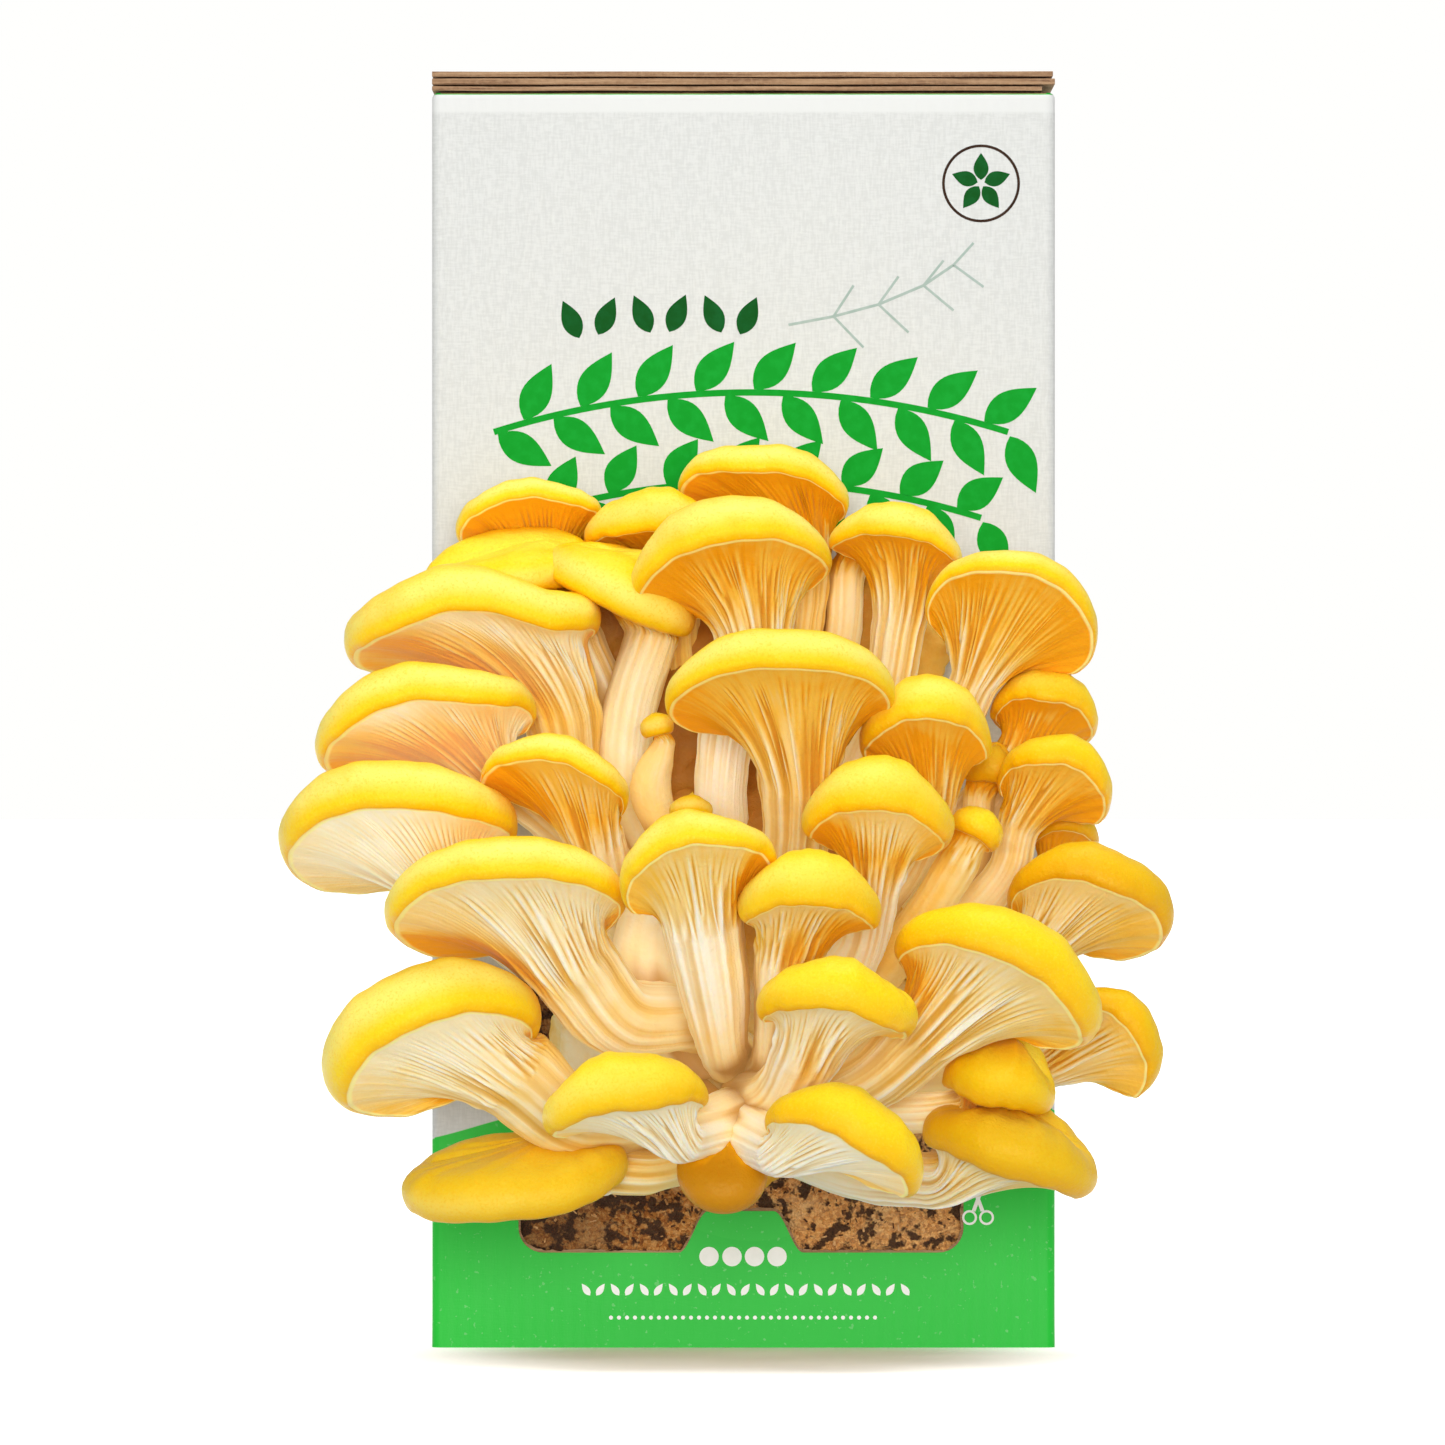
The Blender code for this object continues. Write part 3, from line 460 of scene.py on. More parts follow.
def mushroom_paint(tone):
    """Golden cap, pale to amber gills and stem. Painted shade: the more a place is hidden in the cluster, the
    warmer and darker it is painted, as shade among the stems would make it.

    The mesh's look attribute gives the station, which is 0 to 1 up the stem, 1 to 2 under the cap and from 2
    on over it, the ridge, from 0 in a groove to 1 on a gill, and the glow, which is how much painted glow, as
    emission and warmer colour, stands in for light coming through.
    """
    paint = Paint(
        "golden_mushroom", Specular_IOR_Level=0.35, Specular_Tint=(1.0, 0.82, 0.35), Emission_Strength=0.15,
        Subsurface_Weight=0.3, Subsurface_Radius=(1.0, 0.55, 0.15), Subsurface_Scale=0.0022)
    station, ridge, glow = paint.split(paint.attribute("look").outputs["Vector"])
    warm = paint.attribute("warm").outputs["Fac"]
    heart = paint.attribute("heart").outputs["Fac"]
    hollow = paint.attribute("hollow").outputs["Fac"]
    grain = paint.attribute("grain").outputs["Vector"]

    streaks = paint.noise(1.0, 3.0, 0.6, grain)
    patches = paint.noise(70, 3.0, 0.55)
    groove_shade = paint.math("SUBTRACT", 0.5, ridge)
    thread = paint.times(
        paint.math("SUBTRACT", streaks, 0.5), paint.band(station, 0.6, 1.2, 0.10, 0.40))
    own = paint.times(heart, paint.band(station, 1.0, 1.75, 1.0, 0.0))
    warmth = paint.math("MULTIPLY_ADD", warm, paint.band(station, 1.0, 1.75), own)
    # Painted shade: grooves between the gills are painted warmer
    warmth = paint.math("MULTIPLY_ADD", groove_shade, 0.85, warmth)
    warmth = paint.plus(warmth, thread)
    # Painted glow: the glow share makes the flesh warmer, as light coming through it would
    warmth = paint.math("MULTIPLY_ADD", glow, 0.5, warmth)
    # Painted shade: the more hidden a place is, the warmer its flesh, most of all under the cap
    depth = paint.times(
        paint.band(hollow, 0.25, 0.75, -0.06, 0.90), paint.band(station, 0.7, 1.7, 0.12, 1.0))
    warmth = paint.plus(warmth, depth)
    warmth = paint.plus(warmth, paint.band(patches, 0.4, 0.75, -0.05, 0.12), clamp=True)
    # Painted shade: places deeply hidden in the cluster, most of all on the stems, are darkened towards the
    # gap colour
    painted_gap_shade = paint.times(
        paint.band(hollow, 0.62, 0.90, 0.0, 0.85), paint.band(station, 0.9, 1.3, 1.0, 0.3))
    under = paint.use(tone, Warmth=warmth, Buried=painted_gap_shade)["Colour"]
    # Painted shade: grooves darkened towards the groove colour, on top of the real shade of the ridges
    groove = paint.times(paint.band(ridge, 0.12, 0.5, 1.0, 0.0), 0.55)
    under = paint.mix(groove, under, GROOVE_SHADE)

    # Over the cap: the golden ramp darkens towards the low rim, partly the cap's own colour and partly
    # painted shade
    over = paint.math("DIVIDE", paint.math("SUBTRACT", station, 2.0), 2.0)
    golden = paint.ramp(over, [(0.0, CAP_LOW_AND_SHADE), (0.12, CAP_SIDE), (0.30, CAP_TOP), (0.47, CAP_LIGHT)])
    # Painted highlight: a pale band across the upper part of the cap, used on caps high and to the left,
    # where the light falls
    lemon_highlight = paint.ramp(over, [
        (0.0, CAP_LOW_AND_SHADE), (0.05, CAP_SIDE), (0.13, CAP_TOP),
        (0.27, CAP_PALE_HIGHLIGHT_AND_SPECK), (0.40, CAP_TOP), (0.7, CAP_LIGHT)])
    across, _, height = paint.split(paint.where)
    cap = paint.mix(paint.band(paint.math("SUBTRACT", height, across), 0.05, 0.12), golden, lemon_highlight)
    broad = paint.noise(45, 3.0, 0.6)
    cap = paint.mix(paint.band(broad, 0.5, 0.75, 0.0, 0.4), cap, CAP_TOP)
    cap = paint.mix(paint.band(patches, 0.5, 0.75, 0.0, 0.4), cap, CAP_SIDE)
    dots = paint.noise(1900, 2.0, 0.6)
    cap = paint.mix(paint.band(dots, 0.52, 0.68, 0.0, 0.42), cap, CAP_SIDE)
    cap = paint.mix(paint.band(dots, 0.30, 0.48, 0.14, 0.0), cap, CAP_PALE_HIGHLIGHT_AND_SPECK)
    cap = paint.mix(paint.attribute("deep").outputs["Fac"], cap, CAP_DEEP)
    # Painted shade: caps darken towards their low rim colour where they are hidden in the cluster
    cap = paint.mix(paint.band(hollow, 0.35, 0.9, 0.0, 0.7), cap, CAP_LOW_AND_SHADE)

    colour = paint.mix(paint.band(station, 1.99, 2.005), under, cap)
    line = paint.times(paint.band(station, 1.972, 1.99), paint.band(station, 2.005, 2.035, 1.0, 0.0))
    colour = paint.mix(paint.times(line, 0.9), colour, RIM_LINE)

    skin = paint.noise(1100, 3.0, 0.6)
    fibre = paint.times(streaks, paint.band(station, 1.9, 2.0, 1.0, 0.0))
    fibre = paint.times(fibre, paint.band(station, 0.7, 1.2, 0.45, 1.0))
    relief = paint.plus(paint.times(skin, 0.22), paint.times(fibre, 0.35))

    # Painted glow, as emission: amber where light would come through the margin, pale under pale caps, and
    # golden among the stems where they are hidden
    below = paint.band(station, 1.985, 2.0, 1.0, 0.0)
    lit = paint.times(paint.band(glow, 0.15, 0.8), below)
    pale = paint.times(paint.band(warm, 0.0, 0.5, 1.0, 0.0), paint.band(station, 1.0, 1.5))
    pale = paint.times(pale, below)
    through = paint.mix(lit, paint.mix(pale, (0, 0, 0), GLOW_PALE), GLOW_AMBER)
    gap_glow = paint.times(paint.band(hollow, 0.15, 0.6), paint.band(station, 0.9, 1.3, 0.8, 0.0))
    return paint.finish(
        colour, Emission_Color=paint.mix(gap_glow, through, GLOW_STEM), Normal=paint.bump(relief, 1.0),
        Roughness=paint.band(station, 1.93, 2.05, 0.62, 0.40))


def flesh_paint(tone):
    """The fused base: pale and fuzzy at the front, with painted shade: amber and brown further back and
    higher up, where it lies in the shade of the stems.
    """
    paint = Paint(
        "mushroom_flesh", 0.65,
        Subsurface_Weight=0.2, Subsurface_Radius=(1.0, 0.5, 0.2), Subsurface_Scale=0.003)
    broad = paint.noise(90)
    fine = paint.noise(420, 4.0, 0.65)
    across, forward, height = paint.split(paint.where)
    # Painted shade: warmer further back and higher up, behind the stems
    depth = paint.math(
        "MAXIMUM", paint.band(forward, -0.074, -0.060, 0.35, 0.8), paint.band(height, 0.066, 0.082, 0.0, 0.7))
    warmth = paint.plus(depth, paint.band(broad, 0.3, 0.7, -0.12, 0.12))
    warmth = paint.plus(warmth, paint.band(fine, 0.35, 0.75, 0.06, -0.06), clamp=True)
    aside = paint.math("ABSOLUTE", paint.plus(across, 0.003))
    # Painted shade: the high middle of the base, deep behind the stems, is darkened towards the gap colour
    painted_gap_shade = paint.times(paint.band(height, 0.07, 0.09), paint.band(aside, 0.022, 0.034, 0.9, 0.1))
    colour = paint.use(tone, Warmth=warmth, Buried=painted_gap_shade)["Colour"]
    return paint.finish(colour, Normal=paint.bump(fine, 1.0, 0.6))


GREEN = (0.006, 0.505, 0.028)
GREEN_LIGHT = (0.012, 0.53, 0.034)
WEAVE_DARK, WEAVE_LIGHT, WHITE_CLOUD = (0.60, 0.61, 0.59), (0.67, 0.68, 0.66), (0.69, 0.69, 0.645)
FLECK = (0.9, 0.95, 0.85)
# Painted highlight along the rounded top fold of the walls
TOP_FOLD_HIGHLIGHT = (0.715, 0.725, 0.705)
# The green hills' mean height and how far they rise and roll, and how far the near row rises and lies below
HILL_HEIGHT, HILL_RISE, HILL_ROLL = 46.8, 3.6, 3.0
NEAR_RISE, NEAR_DROP = 5, 17
FLUTE_PITCH = 2.6
KRAFT = (0.34, 0.19, 0.095)
KRAFT_LIGHT = (0.50, 0.32, 0.18)
KRAFT_DARK = (0.13, 0.055, 0.025)
RUN_LENGTH = 2 * (WIDTH + DEPTH)


def print_paint():
    """White board with a woven grain, and green hills round its lower part."""
    paint = Paint("printed_board", 0.5, Specular_IOR_Level=0.3, Coat_Weight=0.06, Coat_Roughness=0.35)
    run, height, _ = paint.split(paint.attribute("wrap").outputs["Vector"])
    around = paint.times(run, 2 * math.pi / RUN_LENGTH)
    hill = paint.wave(around, 6, math.radians(269.5))
    roll = paint.wave(around, 2, math.radians(-12))
    top = paint.plus(
        paint.math("MULTIPLY_ADD", hill, HILL_RISE, HILL_HEIGHT), paint.times(roll, HILL_ROLL))
    above = paint.math("SUBTRACT", height, top)
    below = paint.math("MULTIPLY_ADD", paint.wave(around, 4, 1.0), NEAR_RISE, NEAR_DROP)
    second = paint.plus(above, below)
    green = paint.mix(paint.band(second, -0.15, 0.15), GREEN, GREEN_LIGHT)

    weave = paint.plus(*(
        paint.noise(1.0, 2.0, 0.5, paint.stretched(paint.where, threads))
        for threads in ((420, 420, 2300), (2300, 2300, 420))))
    cloud = paint.noise(22, 4.0)
    white = paint.mix(paint.band(weave, 0.75, 1.25), WEAVE_DARK, WEAVE_LIGHT)
    white = paint.mix(paint.band(cloud, 0.3, 0.8, 0.0, 0.10), white, WHITE_CLOUD)
    colour = paint.mix(paint.band(above, -0.12, 0.12), green, white)
    fleck = paint.band(paint.noise(900, 2.0), 0.66, 0.72)
    colour = paint.mix(paint.times(fleck, 0.10), colour, FLECK)
    # Painted highlight: the top few millimetres of the walls, over the rounded fold, are lighter
    colour = paint.mix(paint.band(height, WALL_HEIGHT - 4.4, WALL_HEIGHT - 3.6), colour, TOP_FOLD_HIGHLIGHT)
    # Painted shadow: a thin green line along the very top of the walls, where the fold meets the glued top
    colour = paint.mix(paint.band(height, WALL_HEIGHT - 0.55, WALL_HEIGHT - 0.3), colour, GREEN)

    flute = paint.wave(run, 2 * math.pi / FLUTE_PITCH)
    level = paint.plus(paint.times(weave, 0.035), paint.times(flute, 0.02))
    level = paint.plus(level, paint.times(cloud, 0.5))
    return paint.finish(colour, Normal=paint.bump(level, 1.0, 0.7))


def kraft_fibre():
    """Brown board with long streaks and short fibres in it."""
    fibre = Effect("kraft_fibre", {"Place": "Vector"}, {"Colour": "Color", "Height": "Float"})
    streak = fibre.noise(1.0, 4.0, 0.6, fibre.stretched(fibre.given["Place"], (60, 500, 2400)))
    fine = fibre.noise(1200, 3.0, vector=fibre.given["Place"])
    colour = fibre.ramp(streak, [(0.28, KRAFT_DARK), (0.48, KRAFT), (0.72, KRAFT_LIGHT)])
    fibre.put(fibre.mix(fibre.band(fine, 0.4, 0.7, 0.0, 0.35), colour, KRAFT_LIGHT), fibre.result["Colour"])
    fibre.put(fibre.plus(streak, fine), fibre.result["Height"])
    return fibre


def worn_print():
    """Ink or chip colour that changes a little from place to place."""
    worn = Effect("worn_print", {"Place": "Vector", "Full": "Color", "Worn": "Color"}, {"Colour": "Color"})
    wear = worn.band(worn.noise(500, 3.0, vector=worn.given["Place"]), 0.35, 0.75)
    worn.put(worn.mix(wear, worn.given["Full"], worn.given["Worn"]), worn.result["Colour"])
    return worn


def kraft_paint(name="kraft_board"):
    paint = Paint(name, 0.85)
    fibre = paint.use(KRAFT_FIBRE, Place=paint.where)
    return paint.finish(fibre["Colour"], Normal=paint.bump(fibre["Height"], 0.5, 0.6))


def ink_paint(name, colour, tint):
    paint = Paint(name, Specular_IOR_Level=0.08)
    return paint.finish(paint.use(WORN_PRINT, Place=paint.where, Full=colour, Worn=tint)["Colour"])


SAWDUST = [(0.1, (0.50, 0.17, 0.028)), (0.45, (0.80, 0.33, 0.070)), (0.9, (0.98, 0.50, 0.155))]
SAWDUST_FELT = (0.98, 0.63, 0.28)
SAWDUST_PAINTED_SHADOW = (0.12, 0.038, 0.006)
SAWDUST_BLOTCH = (0.050, 0.018, 0.007)


def sawdust_paint():
    """Tan grains with a pale felt of roots on the right, and dark blotches, most of them on the left."""
    paint = Paint("substrate", 0.95)
    cells = paint.add("TexVoronoi", Vector=paint.where, Scale=1500).outputs
    across = paint.split(paint.where)[0]
    blotch = paint.plus(paint.noise(290, 3.0, 0.6), paint.band(across, -0.04, 0.04, 0.015, -0.035))
    tan = paint.ramp(paint.split(cells["Color"])[0], SAWDUST)
    felt = paint.plus(
        paint.band(paint.noise(70, 5.0, 0.65), 0.42, 0.66), paint.band(across, -0.035, 0.03, -0.4, 0.4))
    tan = paint.mix(paint.times(felt, 0.6, clamp=True), tan, SAWDUST_FELT)
    # Painted shadow: the sawdust darkens towards the left of the window
    tan = paint.mix(paint.band(across, -0.045, 0.005, 0.70, 0.0), tan, SAWDUST_PAINTED_SHADOW)
    colour = paint.mix(paint.band(blotch, 0.48, 0.57, 0.0, 0.95), tan, SAWDUST_BLOTCH)
    height = paint.math("SUBTRACT", 1.0, cells["Distance"])
    return paint.finish(colour, Normal=paint.bump(height, 1.2, 0.7))


# Camera, light and surroundings
LENS = 300
# Where each light stands, the height that it is aimed at, its size and its power, in metres and watts
LIGHTS = {
    "key": ((-1.0, -1.9, 2.2), 0.12, 1.0, 11.6),
    "fill": ((1.7, -2.2, 0.9), 0.12, 1.4, 2.8),
    "top": ((0.1, -0.3, 2.4), 0.10, 1.1, 21.2),
    "front": ((0.0, -2.6, 0.3), 0.10, 1.0, 35),
}
LIGHT_AIM_Y = -0.08
WORLD_LIGHT = 0.55
FLOOR_RADIUS, BACKDROP_RADIUS = 14, 13
FLOOR_WHITE, BACKDROP_WHITE = (1, 1, 0.97), (1, 1, 0.985)
# The ellipse round the foot in which the floor stays dark enough to show a shadow
SHADE_SHIFT, SHADE_SCALE = (0, 0.5, 0), (11.5, 7.5, 1)


def mesh_of(body, name):
    mesh = bpy.data.meshes.new(name)
    body.to_mesh(mesh)
    body.free()
    return mesh


def baked(item):
    """The mesh that the object shows, with its modifiers applied."""
    bpy.context.view_layer.update()
    return bpy.data.meshes.new_from_object(item.evaluated_get(bpy.context.evaluated_depsgraph_get()))


def show(name, data):
    made = bpy.data.objects.new(name, data)
    bpy.context.scene.collection.objects.link(made)
    return made


def make_camera():
    data = bpy.data.cameras.new("camera")
    data.lens = LENS
    data.clip_end = 100
    camera = show("camera", data)
    camera.location = (VIEW_X * MM, (FRONT - VIEW_DISTANCE) * MM, VIEW_Z * MM)
    camera.rotation_euler = (math.pi / 2, 0, 0)
    bpy.context.scene.camera = camera


def make_lights():
    for name, (place, height, size, power) in LIGHTS.items():
        data = bpy.data.lights.new(name, "AREA")
        data.shape = "DISK"
        data.size = size
        data.energy = power
        light = show(name, data)
        light.location = place
        aim = Vector((0, LIGHT_AIM_Y, height)) - Vector(place)
        light.rotation_euler = aim.to_track_quat("-Z", "Y").to_euler()
        light.visible_camera = False


def make_surroundings():
    """A white floor and backdrop that shine by themselves, apart from the floor near the carton's foot."""
    scene = bpy.context.scene
    scene.view_settings.view_transform = "Standard"
    world = bpy.data.worlds.new("studio")
    world.use_nodes = True
    back = world.node_tree.nodes["Background"]
    back.inputs["Color"].default_value = (1, 1, 1, 1)
    back.inputs["Strength"].default_value = WORLD_LIGHT
    scene.world = world

    body = bmesh.new()
    bmesh.ops.create_circle(body, cap_ends=True, segments=128, radius=FLOOR_RADIUS)
    floor = show("floor", mesh_of(body, "floor"))
    paint = Paint("floor", 0.9)
    fit = paint.add("Mapping", Vector=paint.where, Location=SHADE_SHIFT, Scale=SHADE_SCALE)
    length = paint.add("VectorMath")
    length.operation = "LENGTH"
    paint.put(fit.outputs["Vector"], length.inputs[0])
    shine = paint.band(length.outputs["Value"], 0.35, 1.1, 0.02, 0.92)
    floor.data.materials.append(
        paint.finish((0.94, 0.94, 0.935), Emission_Color=FLOOR_WHITE, Emission_Strength=shine))
    floor.visible_diffuse = False

    body = bmesh.new()
    bmesh.ops.create_uvsphere(body, u_segments=48, v_segments=24, radius=BACKDROP_RADIUS)
    bmesh.ops.reverse_faces(body, faces=body.faces)
    backdrop = show("backdrop", mesh_of(body, "backdrop"))
    paint = Paint("backdrop", 0.5, Specular_IOR_Level=0)
    backdrop.data.materials.append(
        paint.finish((0, 0, 0), Emission_Color=BACKDROP_WHITE, Emission_Strength=1))
    for ray in ("diffuse", "glossy", "transmission", "volume_scatter", "shadow"):
        setattr(backdrop, "visible_" + ray, False)


# Shapes
def coat(mesh, paint):
    mesh.materials.clear()
    mesh.materials.append(paint)


def vectors(items, title):
    """The named vector of each item, as rows."""
    values = np.empty(len(items) * 3)
    items.foreach_get(title, values)
    return values.reshape(-1, 3)


def round_edges(body, edges, radius, segments):
    bmesh.ops.bevel(
        body, geom=edges, offset=radius * MM, segments=segments, profile=0.5, affect="EDGES", material=-1)


def add_piece(name, mesh, paint, slot_name, *nodes, flat=False):
    made = show(name, mesh)
    coat(mesh, paint)
    mesh.polygons.foreach_set("use_smooth", [not flat] * len(mesh.polygons))
    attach(made, "root")
    if nodes:
        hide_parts(*nodes)
    return made


def cap_axes(spec):
    """The cap's own axes: to its right, to its back, and out of its top."""
    tilt, roll = math.radians(spec["tilt"]), math.radians(spec["roll"])
    right = np.array([math.cos(roll), 0.0, math.sin(roll)])
    level_back = unit(np.cross(np.array([0.0, 0.0, 1.0]), right))
    upright = np.cross(right, level_back)
    back = level_back * math.cos(tilt) - upright * math.sin(tilt)
    return right, back, np.cross(right, back)


def spline(points, share):
    """A smooth curve through the points, which are rows of numbers, at a share of its length."""
    spans = len(points) - 1
    place = min(share * spans, spans - 1e-9)
    index = int(place)
    t = place - index
    before = points[index - 1] if index else 2 * points[0] - points[1]
    after = points[index + 2] if index + 2 <= spans else 2 * points[-1] - points[-2]
    start, end = points[index], points[index + 1]
    return start + 0.5 * t * (end - before + t * (
        2 * before - 5 * start + 4 * end - after + t * (3 * (start - end) + after - before)))


def stem_frames(spec, right):
    """Centres, radii and the two cross axes along the stem, foot first, with no twist along it."""
    points = np.array([(*seen_at(*row[:3]), row[3]) for row in spec["stem"]])
    rows = np.array([spline(points, step / STEM_STEPS) for step in range(STEM_STEPS + 1)])
    centres, radii = rows[:, :3], rows[:, 3]
    tangents = np.gradient(centres, axis=0)
    across = right
    frames = []
    for centre, radius, tangent in zip(centres[::-1], radii[::-1], tangents[::-1]):
        along = unit(tangent)
        across = unit(across - along * across.dot(along))
        frames.append((centre, radius, across, np.cross(along, across), along))
    return frames[::-1]


def mushroom_ring(spec, axes, frames, station, angles):
    """Points round the mushroom at a station: 0 to 1 up the stem, 1 to 2 under the cap, 2 to 3 round the
    margin and 3 to 4 over the top."""
    cos, sin = np.cos(angles)[:, None], np.sin(angles)[:, None]
    right, back, up = axes
    if station <= 1:
        place = station * STEM_STEPS
        low = frames[int(place)]
        high = frames[min(int(place) + 1, STEM_STEPS)]
        centre, radius, across, over, _ = (a + (b - a) * (place % 1) for a, b in zip(low, high))
        if station < FOOT_ROUND:
            radius *= math.sqrt(max(1 - (1 - station / FOOT_ROUND) ** 2, 0))
        return centre + radius * (cos * across + sin * over)

    shrink = 1 - spec["centre"][1] / VIEW_DISTANCE
    middle = seen_at(*spec["centre"])
    half, thick = spec["half"] * shrink, spec["thick"]
    near, far = spec["reach"]
    depth = np.where(sin < 0, near, far)
    ripple = spec["wave"] * (np.sin(3 * angles + half) + np.sin(5 * angles + 2 * half))[:, None] / 2
    frill = 0.16 * spec["wave"] * (np.sin(11 * angles + 3 * half) + np.sin(17 * angles + 5 * half))[:, None]
    low_right = spec["dip"] * np.clip((cos - sin) / math.sqrt(2), 0, 1) ** 6
    rim = middle + half * cos * right + depth * sin * back
    rim = rim + (ripple + frill - spec["droop"] * cos ** 2 - low_right) * up
    outward = depth * cos * right + half * sin * back
    outward /= np.linalg.norm(outward, axis=1)[:, None]
    neck, neck_radius, across, over, along = frames[-1]
    under = neck + up * (middle - neck).dot(up)

    if station <= 2:
        t = station - 1
        start = neck + neck_radius * (cos * across + sin * over)
        rise = max((middle - neck).dot(up), 2.0)
        lower = start + along * rise * 0.55
        upper = rim + 0.42 * (under - rim)
        return (
            start * (1 - t) ** 3 + 3 * lower * t * (1 - t) ** 2 + 3 * upper * t ** 2 * (1 - t) + rim * t ** 3)

    turn = math.pi * (min(station, 3) - 2.5)
    thick = thick * (spec["side"] + (1 - spec["side"]) * np.abs(sin) ** 1.2)
    bulge, widest = MARGIN_BULGE * thick, MARGIN_WIDEST * thick
    if turn < 0:
        out, height = bulge * math.cos(turn), widest * (1 + math.sin(turn))
    else:
        out = bulge - (bulge + SHOULDER * thick) * (1 - math.cos(turn))
        height = widest + (thick - widest) * math.sin(turn)
    edge = rim + out * outward + height * up
    if station <= 3:
        return edge
    t = station - 3
    hollow = middle + 0.5 * (under - middle) + spec["dome"] * spec["thick"] * up
    shoulder = edge + t * (hollow - edge)
    flat = up * ((edge - hollow).dot(up))[:, None]
    return shoulder + flat * (t - t * t * (3 - 2 * t))


GILL_SPACING = 1.3
GILL_DEPTH, FOLD_DEPTH, RIM_LIP = 0.68, 0.42, 0.16
GILL_SWAY, GILL_WANDER = 0.22, 0.16
SKIN_ROWS = (24, 28, 14, 10)  # up the stem, under the cap, round its margin and over its top
FOLDS = ((7, 0.9), (11, 1.0), (16, 0.8), (25, 0.5))
COARSE_STATIONS = np.array([0.05, 0.3, 0.55, 0.8, 1.0, 1.25, 1.5, 1.75, 1.95, 2.1, 2.5, 2.9, 3.5, 3.95])
COARSE_SIDES = 20
HOLLOW_RAYS = 26
HOLLOW_REACH = 45.0


def grid_normals(points):
    """Outward unit normals of a grid whose rows go up the mushroom and whose columns go round it."""
    round_it = np.roll(points, -1, axis=1) - np.roll(points, 1, axis=1)
    up_it = np.gradient(points, axis=0)
    normal = np.cross(round_it, up_it)
    return normal / np.maximum(np.linalg.norm(normal, axis=2), 1e-9)[:, :, None]


def coarse_rings(spec):
    """The plain mushroom as a grid of points, for finding what hides what."""
    axes = cap_axes(spec)
    frames = stem_frames(spec, axes[0])
    turns = np.arange(COARSE_SIDES) * 2 * math.pi / COARSE_SIDES
    return np.array([mushroom_ring(spec, axes, frames, station, turns) for station in COARSE_STATIONS])


def hollow_shares():
    """For each mushroom, how much of what it could see nearby is hidden by the cluster and the carton, at
    each point of its coarse grid, 0 to 1."""
    grids = {name: coarse_rings(spec) for name, spec in MUSHROOMS.items()}
    rows = len(COARSE_STATIONS)
    corner = np.arange(rows * COARSE_SIDES).reshape(rows, COARSE_SIDES)
    right = np.roll(corner, -1, axis=1)
    faces = np.stack([corner[:-1], right[:-1], right[1:], corner[1:]], axis=2).reshape(-1, 4)
    points, quads = [], []
    for index, grid in enumerate(grids.values()):
        points += [Vector(point) for point in grid.reshape(-1, 3).tolist()]
        quads += (faces + index * rows * COARSE_SIDES).tolist()
    half = WIDTH / 2
    first = len(points)
    panel = ((-half, 0), (half, 0), (half, WALL_HEIGHT), (-half, WALL_HEIGHT))
    points += [Vector((x, FRONT, z)) for x, z in panel]
    quads.append([first, first + 1, first + 2, first + 3])
    tree = BVHTree.FromPolygons(points, quads)

    spiral = np.arange(HOLLOW_RAYS) + 0.5
    height = 1 - 2 * spiral / HOLLOW_RAYS
    around = math.pi * (1 + math.sqrt(5)) * spiral
    level = np.sqrt(1 - height ** 2)
    ways = np.stack([level * np.cos(around), level * np.sin(around), height], axis=1)
    shares = {}
    for name, grid in grids.items():
        normals = grid_normals(grid)
        facing = normals @ ways.T
        share = np.zeros(grid.shape[:2])
        for place in np.ndindex(*share.shape):
            start = Vector((grid[place] + normals[place] * 0.6).tolist())
            seen = hidden = 0.0
            for way, weight in zip(ways, facing[place]):
                if weight > 0.1:
                    distance = tree.ray_cast(start, Vector(way), HOLLOW_REACH)[3]
                    seen += weight
                    hidden += weight * (1 - distance / HOLLOW_REACH) ** 0.5 if distance is not None else 0
            share[place] = hidden / seen if seen else 0
        shares[name] = share
    return shares


def spread(share, stations, sides):
    """The coarse shares read off at the fine stations and columns."""
    rows = np.interp(stations, COARSE_STATIONS, np.arange(len(COARSE_STATIONS)))
    low = np.minimum(rows.astype(int), len(COARSE_STATIONS) - 2)
    part = (rows - low)[:, None]
    tall = share[low] * (1 - part) + share[low + 1] * part
    column = np.arange(sides) * COARSE_SIDES / sides
    left = column.astype(int)
    part = column - left
    return tall[:, left] * (1 - part) + tall[:, (left + 1) % COARSE_SIDES] * part


def skin_stations(small):
    """The stations of the rows from the foot to the top. They crowd together towards the rolled margin."""
    share = 0.6 if small else 1.0
    stem, under, margin, top = (round(rows * share) for rows in SKIN_ROWS)
    return np.concatenate([
        [0.0, FOOT_ROUND / 3],
        FOOT_ROUND + (1 - FOOT_ROUND) * np.arange(stem + 1) / stem,
        1 + (1 - (1 - np.arange(1, under + 1) / under) ** 1.25),
        2 + np.arange(1, margin + 1) / margin,
        3 + np.arange(1, top + 1) / top,
    ])


